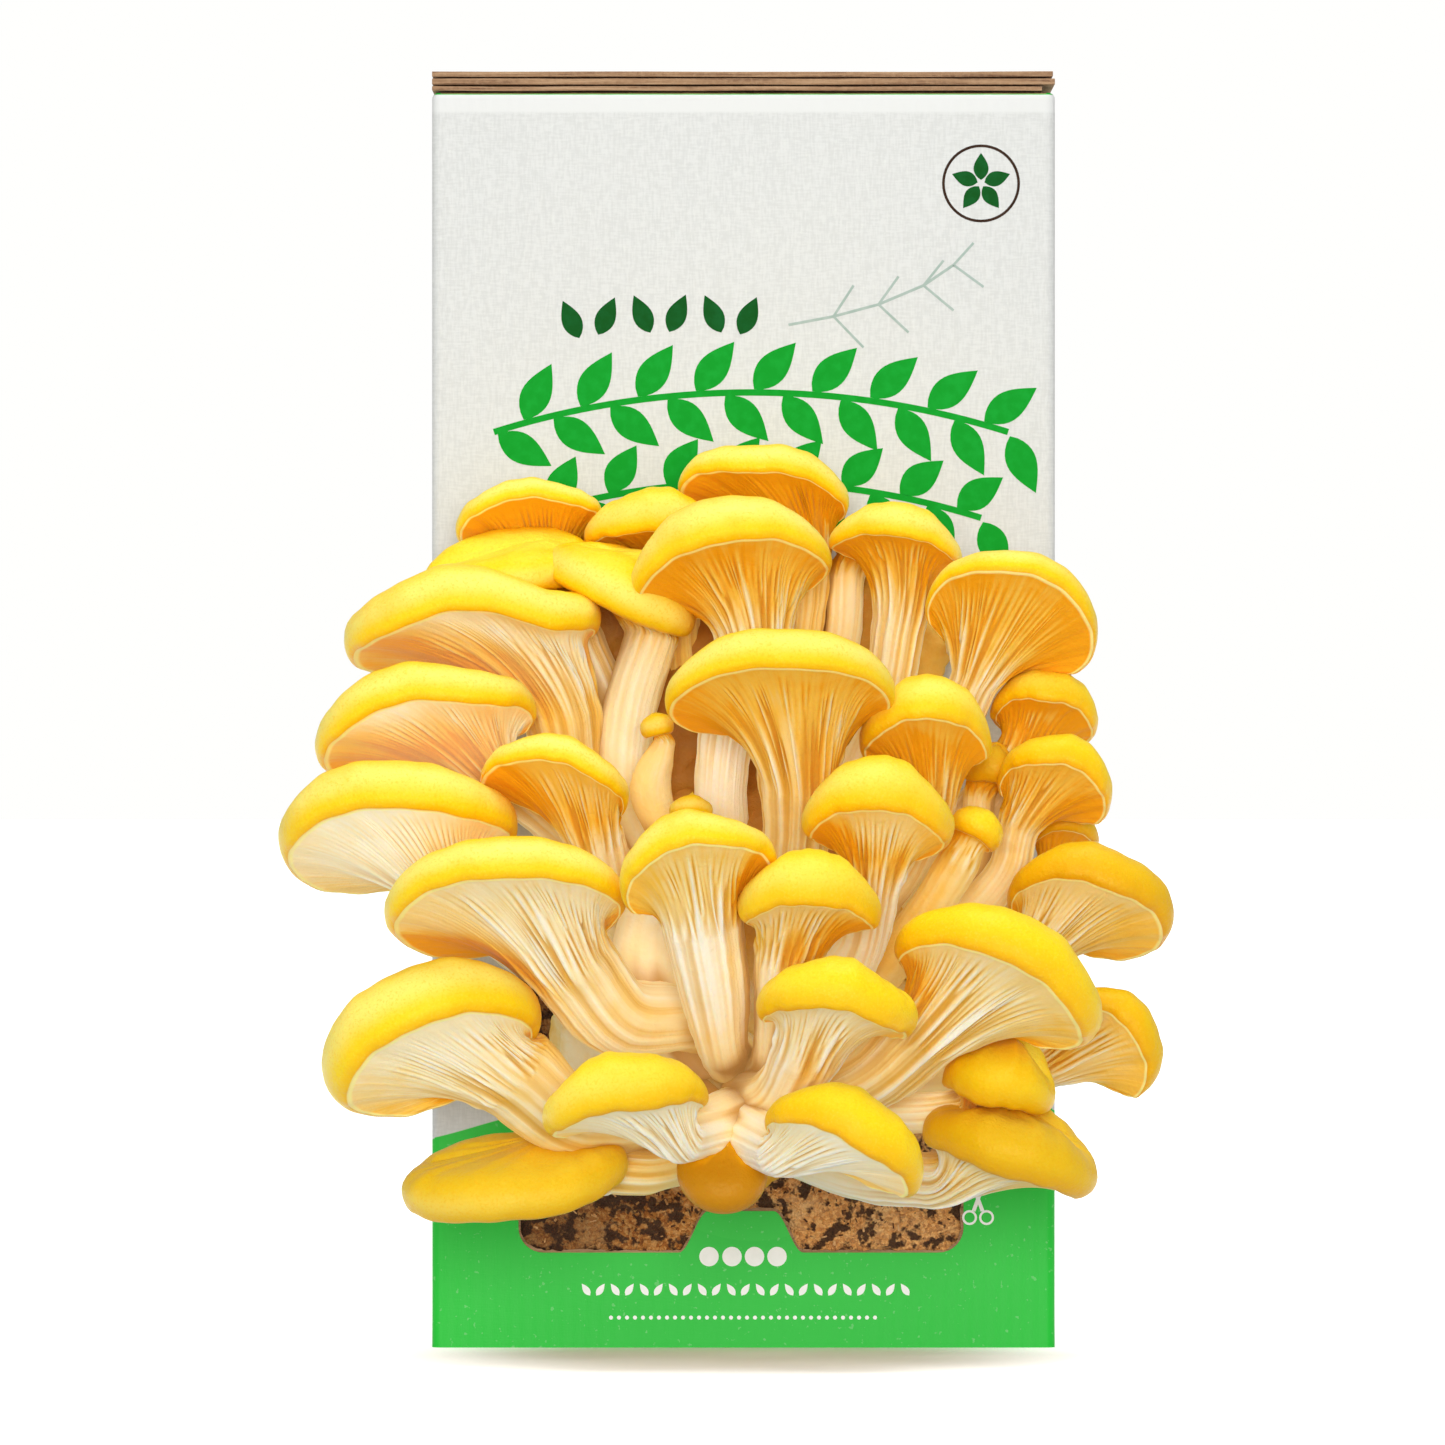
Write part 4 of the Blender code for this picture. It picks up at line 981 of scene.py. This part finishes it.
def skin_grid(spec, chance, stations, gills):
    """The plain skin's points, and the angle of each, which sways so that the gills don't run straight."""
    sides, step = 4 * gills, 2 * math.pi / gills
    turns = np.arange(sides) * 2 * math.pi / sides
    loose = min(1, spec["half"] / 18) ** 1.5  # the gills of a small cap stray less, or they would cross
    sway = sum(
        chance.uniform(0.5, 1) * GILL_SWAY * loose / k * np.sin(k * turns + chance.uniform(0, 6.28))
        for k in (5, 9, 16, 27))
    drift = [
        (int(chance.integers(3, 14)), chance.uniform(0.6, 2.2), chance.uniform(0, 6.28)) for _ in range(6)]
    axes = cap_axes(spec)
    frames = stem_frames(spec, axes[0])
    grid, angles = [], []
    for station in stations:
        wander = sum(np.sin(k * turns + pace * station * 2 + start) for k, pace, start in drift)
        wander = wander * GILL_WANDER * loose * step
        angle = turns + sway + wander * min(1, (4 - station) / 2)
        angles.append(angle)
        grid.append(mushroom_ring(spec, axes, frames, station, angle))
    return np.array(grid), np.array(angles)


def gill_ridges(chance, s, gills):
    """From -1 in a groove to 1 on a gill, four columns to a gill. Every second gill forks off its neighbour
    under the cap."""
    column = np.arange(4 * gills)
    index = column // 4
    outer = np.array([1.0, 0.15, -1.0, 0.15])[column % 4]
    inner = np.array([1.0, 0.75, 0.2, -0.5, -1.0, -0.5, 0.2, 0.75])[column % 8]
    fork = chance.uniform(-0.22, 0.16, gills // 2 + 1)[((column + 2) // 8) % (gills // 2)]
    strength = 0.15 + 1.25 * chance.random(gills) ** 1.4
    strength = 0.5 * (strength[index % gills] + strength[((column + 2) // 4) % gills])
    forked = smooth(s, 1.42 + fork, 1.62 + fork)
    return (inner * (1 - forked) + outer * forked) * strength


def stem_folds(chance, s, angles):
    """Soft folds that run up the stem and lean one way or the other."""
    folds = 0
    for k, weight in FOLDS:
        pace, begin = chance.uniform(-1.6, 1.6), chance.uniform(0, 6.28)
        fade = 0.6 + 0.4 * np.sin(angles * (k % 3 + 1) + s * 2.3 + begin)
        folds = folds + weight * fade * (1 - 2 * np.abs(np.sin(0.5 * (k * angles + pace * s + begin))))
    return folds / 1.6


def skin_mesh(name, grid, looks, **values):
    """A closed skin: a sheet rolled up on the grid, with vectors and values given to its vertices by name."""
    rows, sides = grid.shape[0] - 1, grid.shape[1]
    body = bmesh.new()
    bmesh.ops.create_grid(body, x_segments=sides, y_segments=rows, size=1)
    mesh = mesh_of(body, name)
    count = len(mesh.vertices)
    row, col = np.divmod(np.arange(count), sides + 1)
    seam = np.flatnonzero((row == 0) | (row == rows) | (col % sides == 0))
    col %= sides
    mesh.vertices.foreach_set("co", (grid[row, col] * MM).ravel())
    for title, look in looks.items():
        layer = mesh.attributes.new(title, "FLOAT_VECTOR", "POINT")
        layer.data.foreach_set("vector", look[row, col].astype(np.float32).ravel())
    for title, value in values.items():
        layer = mesh.attributes.new(title, "FLOAT", "POINT")
        value = value[row, col] if np.ndim(value) else np.full(count, value)
        layer.data.foreach_set("value", value.astype(np.float32))
    body = bmesh.new()
    body.from_mesh(mesh)
    body.verts.ensure_lookup_table()
    bmesh.ops.remove_doubles(body, verts=[body.verts[index] for index in seam.tolist()], dist=1e-8)
    body.to_mesh(mesh)
    body.free()
    return mesh


def mushroom_mesh(name, spec, seed, hidden):
    """The mushroom with its gills, folds and lumps, and what its paint has to know of each place."""
    chance = np.random.default_rng(seed)
    half = spec["half"]
    gills = 2 * max(round(math.pi * half * 0.85 / GILL_SPACING), 10)
    stations = skin_stations(half < 7)
    grid, angles = skin_grid(spec, chance, stations, gills)
    s = stations[:, None]
    ridge = gill_ridges(chance, s, gills)

    outer_side = np.cos(angles) * (1 if spec["centre"][0] > 10 else -1)
    lobe = np.clip(
        0.35 + 0.65 * smooth(outer_side, 0.1, 0.95) - 0.5 * smooth(-np.sin(angles), 0.3, 1.0), 0, 1)
    patchy = Ripples(seed + 300, 0.5, 1.6)(
        np.stack([np.cos(angles) * 3, np.sin(angles) * 3, 0 * angles + s * 2], axis=2))
    gilled = smooth(s, 0.95, 1.35) * (1 - smooth(s, 1.66, 1.97)) * (1 - 0.9 * lobe * smooth(s, 1.15, 1.5))
    gilled = gilled * np.clip(0.8 + 0.55 * patchy, 0.1, 1.3)
    gilled = gilled + 0.10 * spec["ribs"] * smooth(s, 0.1, 0.5) * (1 - smooth(s, 0.95, 1.2))
    size = (half / 20) ** 0.4 if half > 5 else 0.15
    folds = stem_folds(chance, s, angles)
    folded = 0.12 * smooth(s, 0.05, 0.3) + spec["ribs"] * smooth(s, 0.25, 0.8) + 0.3 * smooth(s, 0.9, 1.2)
    folded = folded * (1 - smooth(s, 1.3, 1.85)) * min(1, half / 14)
    cap_part = smooth(s, 2.05, 2.4)
    stem_part = 1 - smooth(s, 0.9, 1.4)
    height = ridge * gilled * GILL_DEPTH * size + folds * folded * FOLD_DEPTH
    height = height + Ripples(seed + 500, 14, 36)(grid) * (0.28 * cap_part + 0.25 * stem_part)
    height = height + Ripples(seed + 900, 3.0, 8)(grid) * (0.018 * cap_part + 0.10 * stem_part)
    height = height + RIM_LIP * np.exp(-((s - 2.0) / 0.02) ** 2)
    height[0] = height[-1] = 0

    tone = np.clip(ridge * gilled + 0.8 * folds * folded, -1, 1)
    # Painted glow: how much the flesh is painted as if light came through it, most at the back and on the
    # outer lobes, towards the margin
    back = np.maximum(np.sin(angles) + 0.1, 0)
    glow = (0.75 * back + 0.35 * lobe) * smooth(s, 1.2, 1.8) + 0.12 * smooth(s, 1.7, 1.95)
    along = np.broadcast_to(s, ridge.shape)
    wide = gills / 6
    looks = {
        "look": np.stack([along, 0.5 + 0.5 * tone, np.clip(glow, 0, 1)], axis=2),
        "grain": np.stack([np.cos(angles) * wide, np.sin(angles) * wide, along * 1.6 + seed], axis=2),
    }
    return skin_mesh(
        name, grid + grid_normals(grid) * height[:, :, None], looks,
        warm=spec["warm"], deep=spec["deep"], heart=spec["heart"], hollow=spread(hidden, stations, 4 * gills))


def make_mushrooms(tone):
    paint = mushroom_paint(tone)
    shares = hollow_shares()
    for seed, (name, spec) in enumerate(MUSHROOMS.items()):
        mesh = mushroom_mesh(name + "_skin", spec, seed + 1, shares[name])
        add_piece(name + "_skin", mesh, paint, "golden_mushroom", name)


FUSE_SIZE = 1.3
FLESH_LUMP, FLESH_DENT = 1.1, 0.35


def make_cluster_base(tone):
    """The fused flesh that the stems grow from, as one soft lumpy skin."""
    body = bmesh.new()
    for centre, half in BASE_LUMPS:
        made = bmesh.ops.create_icosphere(body, subdivisions=4, radius=1)["verts"]
        bmesh.ops.scale(body, vec=Vector(half) * MM, verts=made)
        bmesh.ops.translate(body, vec=Vector(seen_at(*centre)) * MM, verts=made)
    mesh = mesh_of(body, "cluster_flesh")
    base = add_piece("cluster_flesh", mesh, flesh_paint(tone), "mushroom_flesh", "cluster_base")
    remesh = base.modifiers.new("fuse", "REMESH")
    remesh.mode = "VOXEL"
    remesh.voxel_size = FUSE_SIZE * MM
    soften = base.modifiers.new("soften", "SMOOTH")
    soften.factor, soften.iterations = 0.5, 8
    fused = baked(base)
    base.modifiers.clear()
    base.data = fused
    points, normals = vectors(fused.vertices, "co"), vectors(fused.vertex_normals, "vector")
    height = Ripples(71, 6, 16)(points / MM) * FLESH_LUMP + Ripples(72, 2.2, 5)(points / MM) * FLESH_DENT
    points = points + normals * (height * MM)[:, None]
    # Its back stays flat against the substrate, and above the window against the panel
    points[:, 1] = np.minimum(points[:, 1], (FRONT + BOARD + 0.8) * MM)
    leaning = (points[:, 2] > (WINDOW_TOP - 3) * MM) & (points[:, 1] > (FRONT - 5) * MM)
    points[leaning, 1] = (FRONT + 0.4) * MM
    fused.vertices.foreach_set("co", points.ravel())
    fused.polygons.foreach_set("use_smooth", [True] * len(fused.polygons))
    fused.update()


def arc(centre, radius, start, end, steps=8):
    turns = [math.radians(start + (end - start) * step / steps) for step in range(steps + 1)]
    return [(centre[0] + radius * math.cos(turn), centre[1] + radius * math.sin(turn)) for turn in turns]


def window_outline(shrink=0.0):
    """The window seen from the front, as (x, z), anticlockwise from its lower left corner."""
    left, right = WINDOW_LEFT + shrink, WINDOW_RIGHT - shrink
    bottom, top = WINDOW_BOTTOM + shrink, WINDOW_TOP - shrink
    r = WINDOW_CORNER
    steps = 14
    turns = [math.pi * index / steps for index in range(steps + 1)]
    rise = [(turn, TONGUE_HEIGHT * (1 - math.cos(turn)) / 2) for turn in turns]
    run = TONGUE_BASE - TONGUE_TIP + shrink
    up = [(TONGUE_CENTRE - TONGUE_BASE - shrink + run * turn / math.pi, bottom + z) for turn, z in rise]
    down = [(2 * TONGUE_CENTRE - x, z) for x, z in reversed(up)]
    return (
        arc((left + r, bottom + r), r, 180, 270) + up + down
        + arc((right - r, bottom + r), r, 270, 360)
        + arc((right - r, top - r), r, 0, 90)
        + arc((left + r, top - r), r, 90, 180)
    )


def outline_mesh(name, outlines, y_low, y_high):
    """Flat outlines in (x, z), made solid from y_low to y_high. An outline inside another is a hole in it."""
    curve = bpy.data.curves.new(name, "CURVE")
    curve.dimensions = "2D"
    curve.fill_mode = "BOTH"
    curve.extrude = (y_high - y_low) / 2 * MM
    for outline in outlines:
        points = curve.splines.new("POLY")
        points.points.add(len(outline) - 1)
        for point, (x, z) in zip(points.points, outline):
            point.co = (x * MM, z * MM, 0, 1)
        points.use_cyclic_u = True
    guide = show(name, curve)
    mesh = baked(guide)
    bpy.data.objects.remove(guide)
    bpy.data.curves.remove(curve)
    body = bmesh.new()
    body.from_mesh(mesh)
    bpy.data.meshes.remove(mesh)
    bmesh.ops.remove_doubles(body, verts=body.verts, dist=1e-6)
    for vert in body.verts:
        x, z, y = vert.co
        vert.co = (x, y + (y_low + y_high) / 2 * MM, z)
    bmesh.ops.recalc_face_normals(body, faces=body.faces)
    if body.calc_volume(signed=True) < 0:
        bmesh.ops.reverse_faces(body, faces=body.faces)
    return mesh_of(body, name)


def box_body(low, high):
    low, high = Vector(low) * MM, Vector(high) * MM
    body = bmesh.new()
    bmesh.ops.create_cube(body, size=1)
    bmesh.ops.scale(body, vec=high - low, verts=body.verts)
    bmesh.ops.translate(body, vec=(low + high) / 2, verts=body.verts)
    return body


def upright_edges(body):
    return [edge for edge in body.edges if abs(edge.verts[0].co.z - edge.verts[1].co.z) > 1e-4
            and (edge.verts[0].co.xy - edge.verts[1].co.xy).length < 1e-5]


def cut(mesh, tools):
    """The mesh with the tools' meshes cut out of it, its points and faces in the order of their places."""
    work = show("work", mesh)
    helpers = [work]
    for tool_mesh in tools:
        tool = show("tool", tool_mesh)
        helpers.append(tool)
        boolean = work.modifiers.new("cut", "BOOLEAN")
        boolean.operation = "DIFFERENCE"
        boolean.solver = "EXACT"
        boolean.object = tool
    made = baked(work)
    for helper in helpers:
        bpy.data.objects.remove(helper)
    body = bmesh.new()
    body.from_mesh(made)
    order = Vector((1, 1e3, 1e6))  # by height, then from the front, then from the left
    body.verts.sort(key=lambda vert: vert.co.dot(order))
    body.faces.sort(key=lambda face: face.calc_center_median().dot(order))
    body.to_mesh(made)
    body.free()
    return made


CORNER_ROUND, RIM_ROUND = 1.7, 1.25
FLAP_INSET, FLAP_ROUND = 0.2, 0.12
CREASE = math.radians(35)


def make_sleeve():
    """The four printed walls, brown inside and on their cut edges. The wrap map runs round them."""
    half = WIDTH / 2
    body = box_body((-half, FRONT, 0), (half, -FRONT, WALL_HEIGHT))
    round_edges(body, upright_edges(body), CORNER_ROUND, 6)
    rims = [
        edge for edge in body.edges
        if all(abs(vert.co.z - WALL_HEIGHT * MM) < 1e-6 for vert in edge.verts)]
    round_edges(body, rims, RIM_ROUND, 5)
    walls = mesh_of(body, "sleeve_walls")
    body = box_body((-half + BOARD, FRONT + BOARD, -1), (half - BOARD, -FRONT - BOARD, WALL_HEIGHT + 1))
    inside = mesh_of(body, "sleeve_inside")
    window = outline_mesh("sleeve_window", [window_outline()], FRONT - 1, FRONT + BOARD + 1)
    mesh = cut(walls, [inside, window])
    mesh.name = "carton_walls"
    add_piece("carton_walls", mesh, print_paint(), "printed_board", "carton_sleeve")
    mesh.materials.append(kraft_paint("kraft_inside"))
    wrap = mesh.uv_layers.new(name="wrap")
    inner_x, inner_y = (half - BOARD + 0.02) * MM, (-FRONT - BOARD + 0.02) * MM
    front, behind, beside = (FRONT + 0.1) * MM, (FRONT + BOARD - 0.1) * MM, (WINDOW_RIGHT + 11) * MM
    for face in mesh.polygons:
        middle, normal = face.center, face.normal
        inside_x = abs(middle.x) < inner_x and abs(middle.y) < inner_y
        cut_edge = front < middle.y < behind and abs(middle.x) < beside and abs(normal.y) < 0.5
        face.material_index = 1 if inside_x or cut_edge or normal.z < -0.5 else 0
        for loop in face.loop_indices:
            x, y, z = mesh.vertices[mesh.loops[loop].vertex_index].co / MM
            if normal.x > 0.7:
                run = half + y - FRONT
            elif normal.x < -0.7:
                run = -half - (y - FRONT)
            elif normal.y > 0:
                run = half + DEPTH + half - x
            else:
                run = x
            wrap.data[loop].uv = (run, z)
    mesh.set_sharp_from_angle(angle=CREASE)


def make_flaps():
    """The raw edges of the glued top, a little uneven along the front."""
    half = WIDTH / 2
    kraft = kraft_paint()
    cover = ink_paint("top_print", (0.80, 0.80, 0.765), (0.88, 0.88, 0.845))
    for seed, (name, (low, high, short)) in enumerate(FLAPS.items()):
        body = box_body((-half, FRONT + FLAP_INSET, low), (half - short, -FRONT - FLAP_INSET, high))
        across = [edge for edge in body.edges if abs(edge.verts[0].co.x - edge.verts[1].co.x) > 10 * MM]
        bmesh.ops.subdivide_edges(body, edges=across, cuts=140, use_grid_fill=True)
        rims = [edge for edge in body.edges if len(edge.link_faces) == 2 and edge.calc_face_angle(0) > 1]
        round_edges(body, rims, FLAP_ROUND, 2)
        wobble = Ripples(300 + seed, 1.2, 9)
        slow = Ripples(320 + seed, 20, 60)
        for vert in body.verts:
            x, y, z = (value / MM for value in vert.co)
            if y < FRONT + 0.5:
                vert.co.y += (0.10 + 0.10 * float(wobble(np.array([x, 0, z * 0.2])))) * MM
            vert.co.z += 0.05 * MM * float(slow(np.array([x, vert.co.y / MM, 0])))
        mesh = mesh_of(body, name + "_ply")
        add_piece(name + "_ply", mesh, kraft, "kraft_board", name)
        mesh.set_sharp_from_angle(angle=CREASE)
        if name == "top_flap_upper":
            mesh.materials.append(cover)
            for face in mesh.polygons:
                if face.normal.z > 0.9:
                    face.material_index = 1


EDGE_WIDTH, EDGE_TEAR, EDGE_FRAY = 0.5, 0.16, 0.07
EDGE_STEP = 0.6


def make_window_edge():
    """The torn brown edge of the board round the window."""
    outer = np.array(window_outline(-0.05))
    coarse, fine = Ripples(41, 1.5, 7), Ripples(42, 0.6, 1.5)
    dense = []
    for start, end in zip(outer, np.roll(outer, -1, axis=0)):
        steps = max(1, round(float(np.linalg.norm(end - start)) / EDGE_STEP))
        dense += [start + (end - start) * step / steps for step in range(steps)]
    dense = np.array(dense)
    ahead = np.roll(dense, -1, axis=0) - np.roll(dense, 1, axis=0)
    inwards = np.stack([-ahead[:, 1], ahead[:, 0]], axis=1)
    inwards /= np.linalg.norm(inwards, axis=1)[:, None]
    flat = np.stack([dense[:, 0], dense[:, 1], dense[:, 0] * 0], axis=1)
    depth = EDGE_WIDTH + EDGE_TEAR * coarse(flat) + EDGE_FRAY * fine(flat)
    inner = dense + inwards * depth[:, None]
    mesh = outline_mesh("window_edge", [dense.tolist(), inner.tolist()], FRONT + 0.28, FRONT + BOARD - 0.1)
    add_piece("window_edge", mesh, kraft_paint("window_kraft"), "kraft_board", flat=True)


# The sawdust face's size and middle, how far it lies behind the board and how deep its crumbs are, and where
# loose chips lie on it, in x and z
FACE_SIZE, FACE_MIDDLE = (96, 30), (-0.5, 29)
FACE_BEHIND, CRUMB_DEPTH = 0.75, 0.85
CHIP_PLACES = ((WINDOW_LEFT + 2, WINDOW_RIGHT - 2), (WINDOW_BOTTOM + 1, 42))


def recolour(title, paint):
    """Gives a solid of the frame its own finish."""
    coat(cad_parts[title].data, paint)


def chip_mesh(title, chance, amount, size):
    """Small flat slivers, turned every way, pressed into the sawdust face."""
    body = bmesh.new()
    for _ in range(amount):
        made = bmesh.ops.create_cube(body, size=1)["verts"]
        long, wide, thin = chance.uniform(0.6, 2.4), chance.uniform(0.3, 0.9), chance.uniform(0.15, 0.4)
        bmesh.ops.scale(body, vec=Vector((long, thin, wide)) * MM * size, verts=made)
        turn = Matrix.Identity(3)
        for axis, low, high in (("Y", 0, 3.14), ("X", -0.5, 0.5), ("Z", -0.4, 0.4)):
            turn = turn @ Matrix.Rotation(chance.uniform(low, high), 3, axis)
        bmesh.ops.rotate(body, verts=made, cent=(0, 0, 0), matrix=turn)
        x, z = (chance.uniform(*limits) for limits in CHIP_PLACES)
        y = FRONT + BOARD + chance.uniform(-0.35, 0.35)
        bmesh.ops.translate(body, verts=made, vec=Vector((x, y, z)) * MM)
    return mesh_of(body, title)


def make_substrate():
    """The block's crumbly front behind the window, with loose chips on it."""
    dust = sawdust_paint()
    recolour("substrate_block", dust)
    body = bmesh.new()
    bmesh.ops.create_grid(body, x_segments=300, y_segments=90, size=0.5)
    mesh = mesh_of(body, "substrate_front")
    points = vectors(mesh.vertices, "co")
    x, z = (points[:, way] * FACE_SIZE[way] + FACE_MIDDLE[way] for way in (0, 1))
    place = np.stack([x, z, x * 0], axis=1)
    crumbs = ((0.55, 51, 5, 14), (0.30, 52, 1.4, 3), (0.14, 53, 0.7, 1.4))
    height = sum(depth * Ripples(seed, shortest, longest)(place) for depth, seed, shortest, longest in crumbs)
    ends = np.minimum(1, np.minimum(1 - np.abs(points[:, 0]) * 2, 1 - np.abs(points[:, 1]) * 2) * 12)
    y = FRONT + BOARD + FACE_BEHIND - np.maximum(height + 0.4, -0.3) * ends * CRUMB_DEPTH
    mesh.vertices.foreach_set("co", (np.stack([x, y, z], axis=1) * MM).ravel())
    mesh.update()
    add_piece("substrate_front", mesh, dust, "substrate")

    chance = np.random.default_rng(8)
    light = ink_paint("wood_chips", (0.42, 0.20, 0.07), (0.80, 0.48, 0.22))
    dark = ink_paint("dark_chips", (0.05, 0.02, 0.01), (0.16, 0.07, 0.03))
    for title, paint, amount, size in (("chips_light", light, 110, 0.55), ("chips_dark", dark, 220, 0.5)):
        add_piece(title, chip_mesh(title, chance, amount, size), paint, "substrate", flat=True)


# Print. Places are (x, z) on the front panel, and angles are degrees.
SPRIG_CENTRE, SPRIG_REACH, SPRIG_WIDTH = (1.5, 20.0), 17.5, 1.3
SPRIGS = ((171.0, 19, 12.5), (153.0, 17, 11.0))
TWIG = ((9, 204.5), (18, 206.2), (27, 208.6), (36, 212.4), (42, 216.5))
BADGE = (47.5, 232.8)
SCISSORS_X = 46.9
INKS = {
    "print_bright": ((0.001, 0.31, 0.018), (0.004, 0.35, 0.028)),
    "print_dark": ((0.001, 0.078, 0.007), (0.003, 0.10, 0.016)),
    "print_line": ((0.36, 0.46, 0.41), (0.44, 0.52, 0.48)),
    "print_white": ((0.88, 0.90, 0.85), (0.93, 0.94, 0.90)),
    "print_brown": ((0.035, 0.016, 0.009), (0.05, 0.025, 0.015)),
}
# How far the ink stands out, and how much further in turn, so that shapes that cross don't share a plane
INK_LIFT, INK_STEP, INK_LEVELS = 0.03, 0.004, 7


def away(place, distance, lean):
    """The place this far off, lean degrees to the right of upright."""
    turn = math.radians(lean)
    return place[0] + distance * math.sin(turn), place[1] + distance * math.cos(turn)


def leaf(centre, length, width, lean, steps=12):
    """A pointed leaf, leaning from upright by lean degrees to the right."""
    shares = [step / steps for step in range(steps + 1)]
    right = [(width / 2 * math.sin(math.pi * share ** 0.8), length * (share - 0.5)) for share in shares]
    left = [(-x, z) for x, z in reversed(right[1:-1])]
    cos, sin = math.cos(math.radians(lean)), math.sin(math.radians(lean))
    return [(centre[0] + x * cos + z * sin, centre[1] - x * sin + z * cos) for x, z in right + left]


def stroke(start, end, width):
    start, end = np.array(start, float), np.array(end, float)
    along = unit(end - start)
    side = np.array([-along[1], along[0]]) * width / 2
    return [tuple(corner) for corner in (start + side, start - side, end - side, end + side)]


def disc(centre, radius, steps):
    return arc(centre, radius, 0, 360 - 360 / steps, steps - 1)


def ring(centre, radius, width, steps=48):
    return [disc(centre, radius, steps), disc(centre, radius - width, steps)]


def sprig(radius, count, length):
    """An arched stem with leaves on both sides in turn."""
    low, high = 90 - SPRIG_REACH, 90 + SPRIG_REACH
    outside = arc(SPRIG_CENTRE, radius + SPRIG_WIDTH / 2, high, low, 40)
    shapes = [outside + arc(SPRIG_CENTRE, radius - SPRIG_WIDTH / 2, low, high, 40)]
    for index in range(count):
        turn = SPRIG_REACH * (2 * index / (count - 1) - 1)
        lean = turn + 90 + (-48 if index % 2 else 48)
        middle = away(away(SPRIG_CENTRE, radius, turn), length * 0.5 + 0.9, lean)
        shapes.append(leaf(middle, length, 6.0, lean))
    return shapes


def leaf_row():
    """Six dark leaves on a shallow arch, leaning left and right in turn."""
    shapes = []
    for index in range(6):
        x = -34.5 + index * 7.1
        z = 206.4 + 0.022 * (index * 7.1) - 0.0026 * (x + 17) ** 2
        shapes.append(leaf((x, z), 8.2, 4.0, 24 if index % 2 else -24))
    return shapes


def twig():
    """A thin bare twig with a pair of side shoots at each joint."""
    shapes = [stroke(start, end, 0.55) for start, end in zip(TWIG, TWIG[1:])]
    for index, (x, z) in enumerate(TWIG[1:]):
        for side, forward in ((-1, 5), (1, 3)):
            shapes.append(stroke((x, z), (x + 1 + forward, z + side * (6.2 - index * 0.6)), 0.5))
    return shapes


def foot_rows():
    """Four spots, a row of small leaves and a row of dots on the green, under the tongue."""
    shapes = [disc((shift, 18.2), 1.95, 24) for shift in (-6.9, -2.3, 2.2, 6.7)]
    for index in range(23):
        shapes.append(leaf((-31.5 + index * 2.9, 11.6), 2.9, 1.35, 35 if index % 2 else -35, steps=6))
    return shapes + [disc((-26.5 + index * 1.6, 6.0), 0.42, 8) for index in range(34)]


def scissors():
    """The plain sign for cutting, beside the window: two rings and two crossed blades."""
    shapes = []
    for side in (-1, 1):
        shapes.append(ring((SCISSORS_X + side * 1.7, 26.0), 1.5, 0.45, 20))
        shapes.append(stroke((SCISSORS_X + side * 0.9, 27.3), (SCISSORS_X - side * 1.6, 34.0), 0.75))
    return shapes


def make_print():
    """Leafy print in five inks, each one thin sheet of shapes that lie on the panel."""
    star = [leaf(away(BADGE, 3.4, turn), 5.4, 3.0, turn) for turn in range(0, 360, 72)]
    drawn = {
        "print_bright": [shape for sizes in SPRIGS for shape in sprig(*sizes)],
        "print_dark": leaf_row() + star,
        "print_line": twig(),
        "print_white": foot_rows() + scissors(),
        "print_brown": [ring(BADGE, 7.8, 0.55)],
    }
    for title, shapes in drawn.items():
        whole = bmesh.new()
        for index, shape in enumerate(shapes):
            outlines = shape if isinstance(shape[0], list) else [shape]
            lift = INK_LIFT + INK_STEP * (index % INK_LEVELS)
            single = outline_mesh("shape", outlines, FRONT - lift, FRONT + 0.2)
            whole.from_mesh(single)
            bpy.data.meshes.remove(single)
        add_piece(title, mesh_of(whole, title), ink_paint(title, *INKS[title]), "printed_board", flat=True)


KRAFT_FIBRE, WORN_PRINT = kraft_fibre(), worn_print()
make_camera()
make_surroundings()
make_lights()
make_sleeve()
recolour("carton_base", bpy.data.materials["kraft_inside"])
make_flaps()
make_window_edge()
make_substrate()
make_print()
flesh = flesh_tone()
make_cluster_base(flesh)
make_mushrooms(flesh)
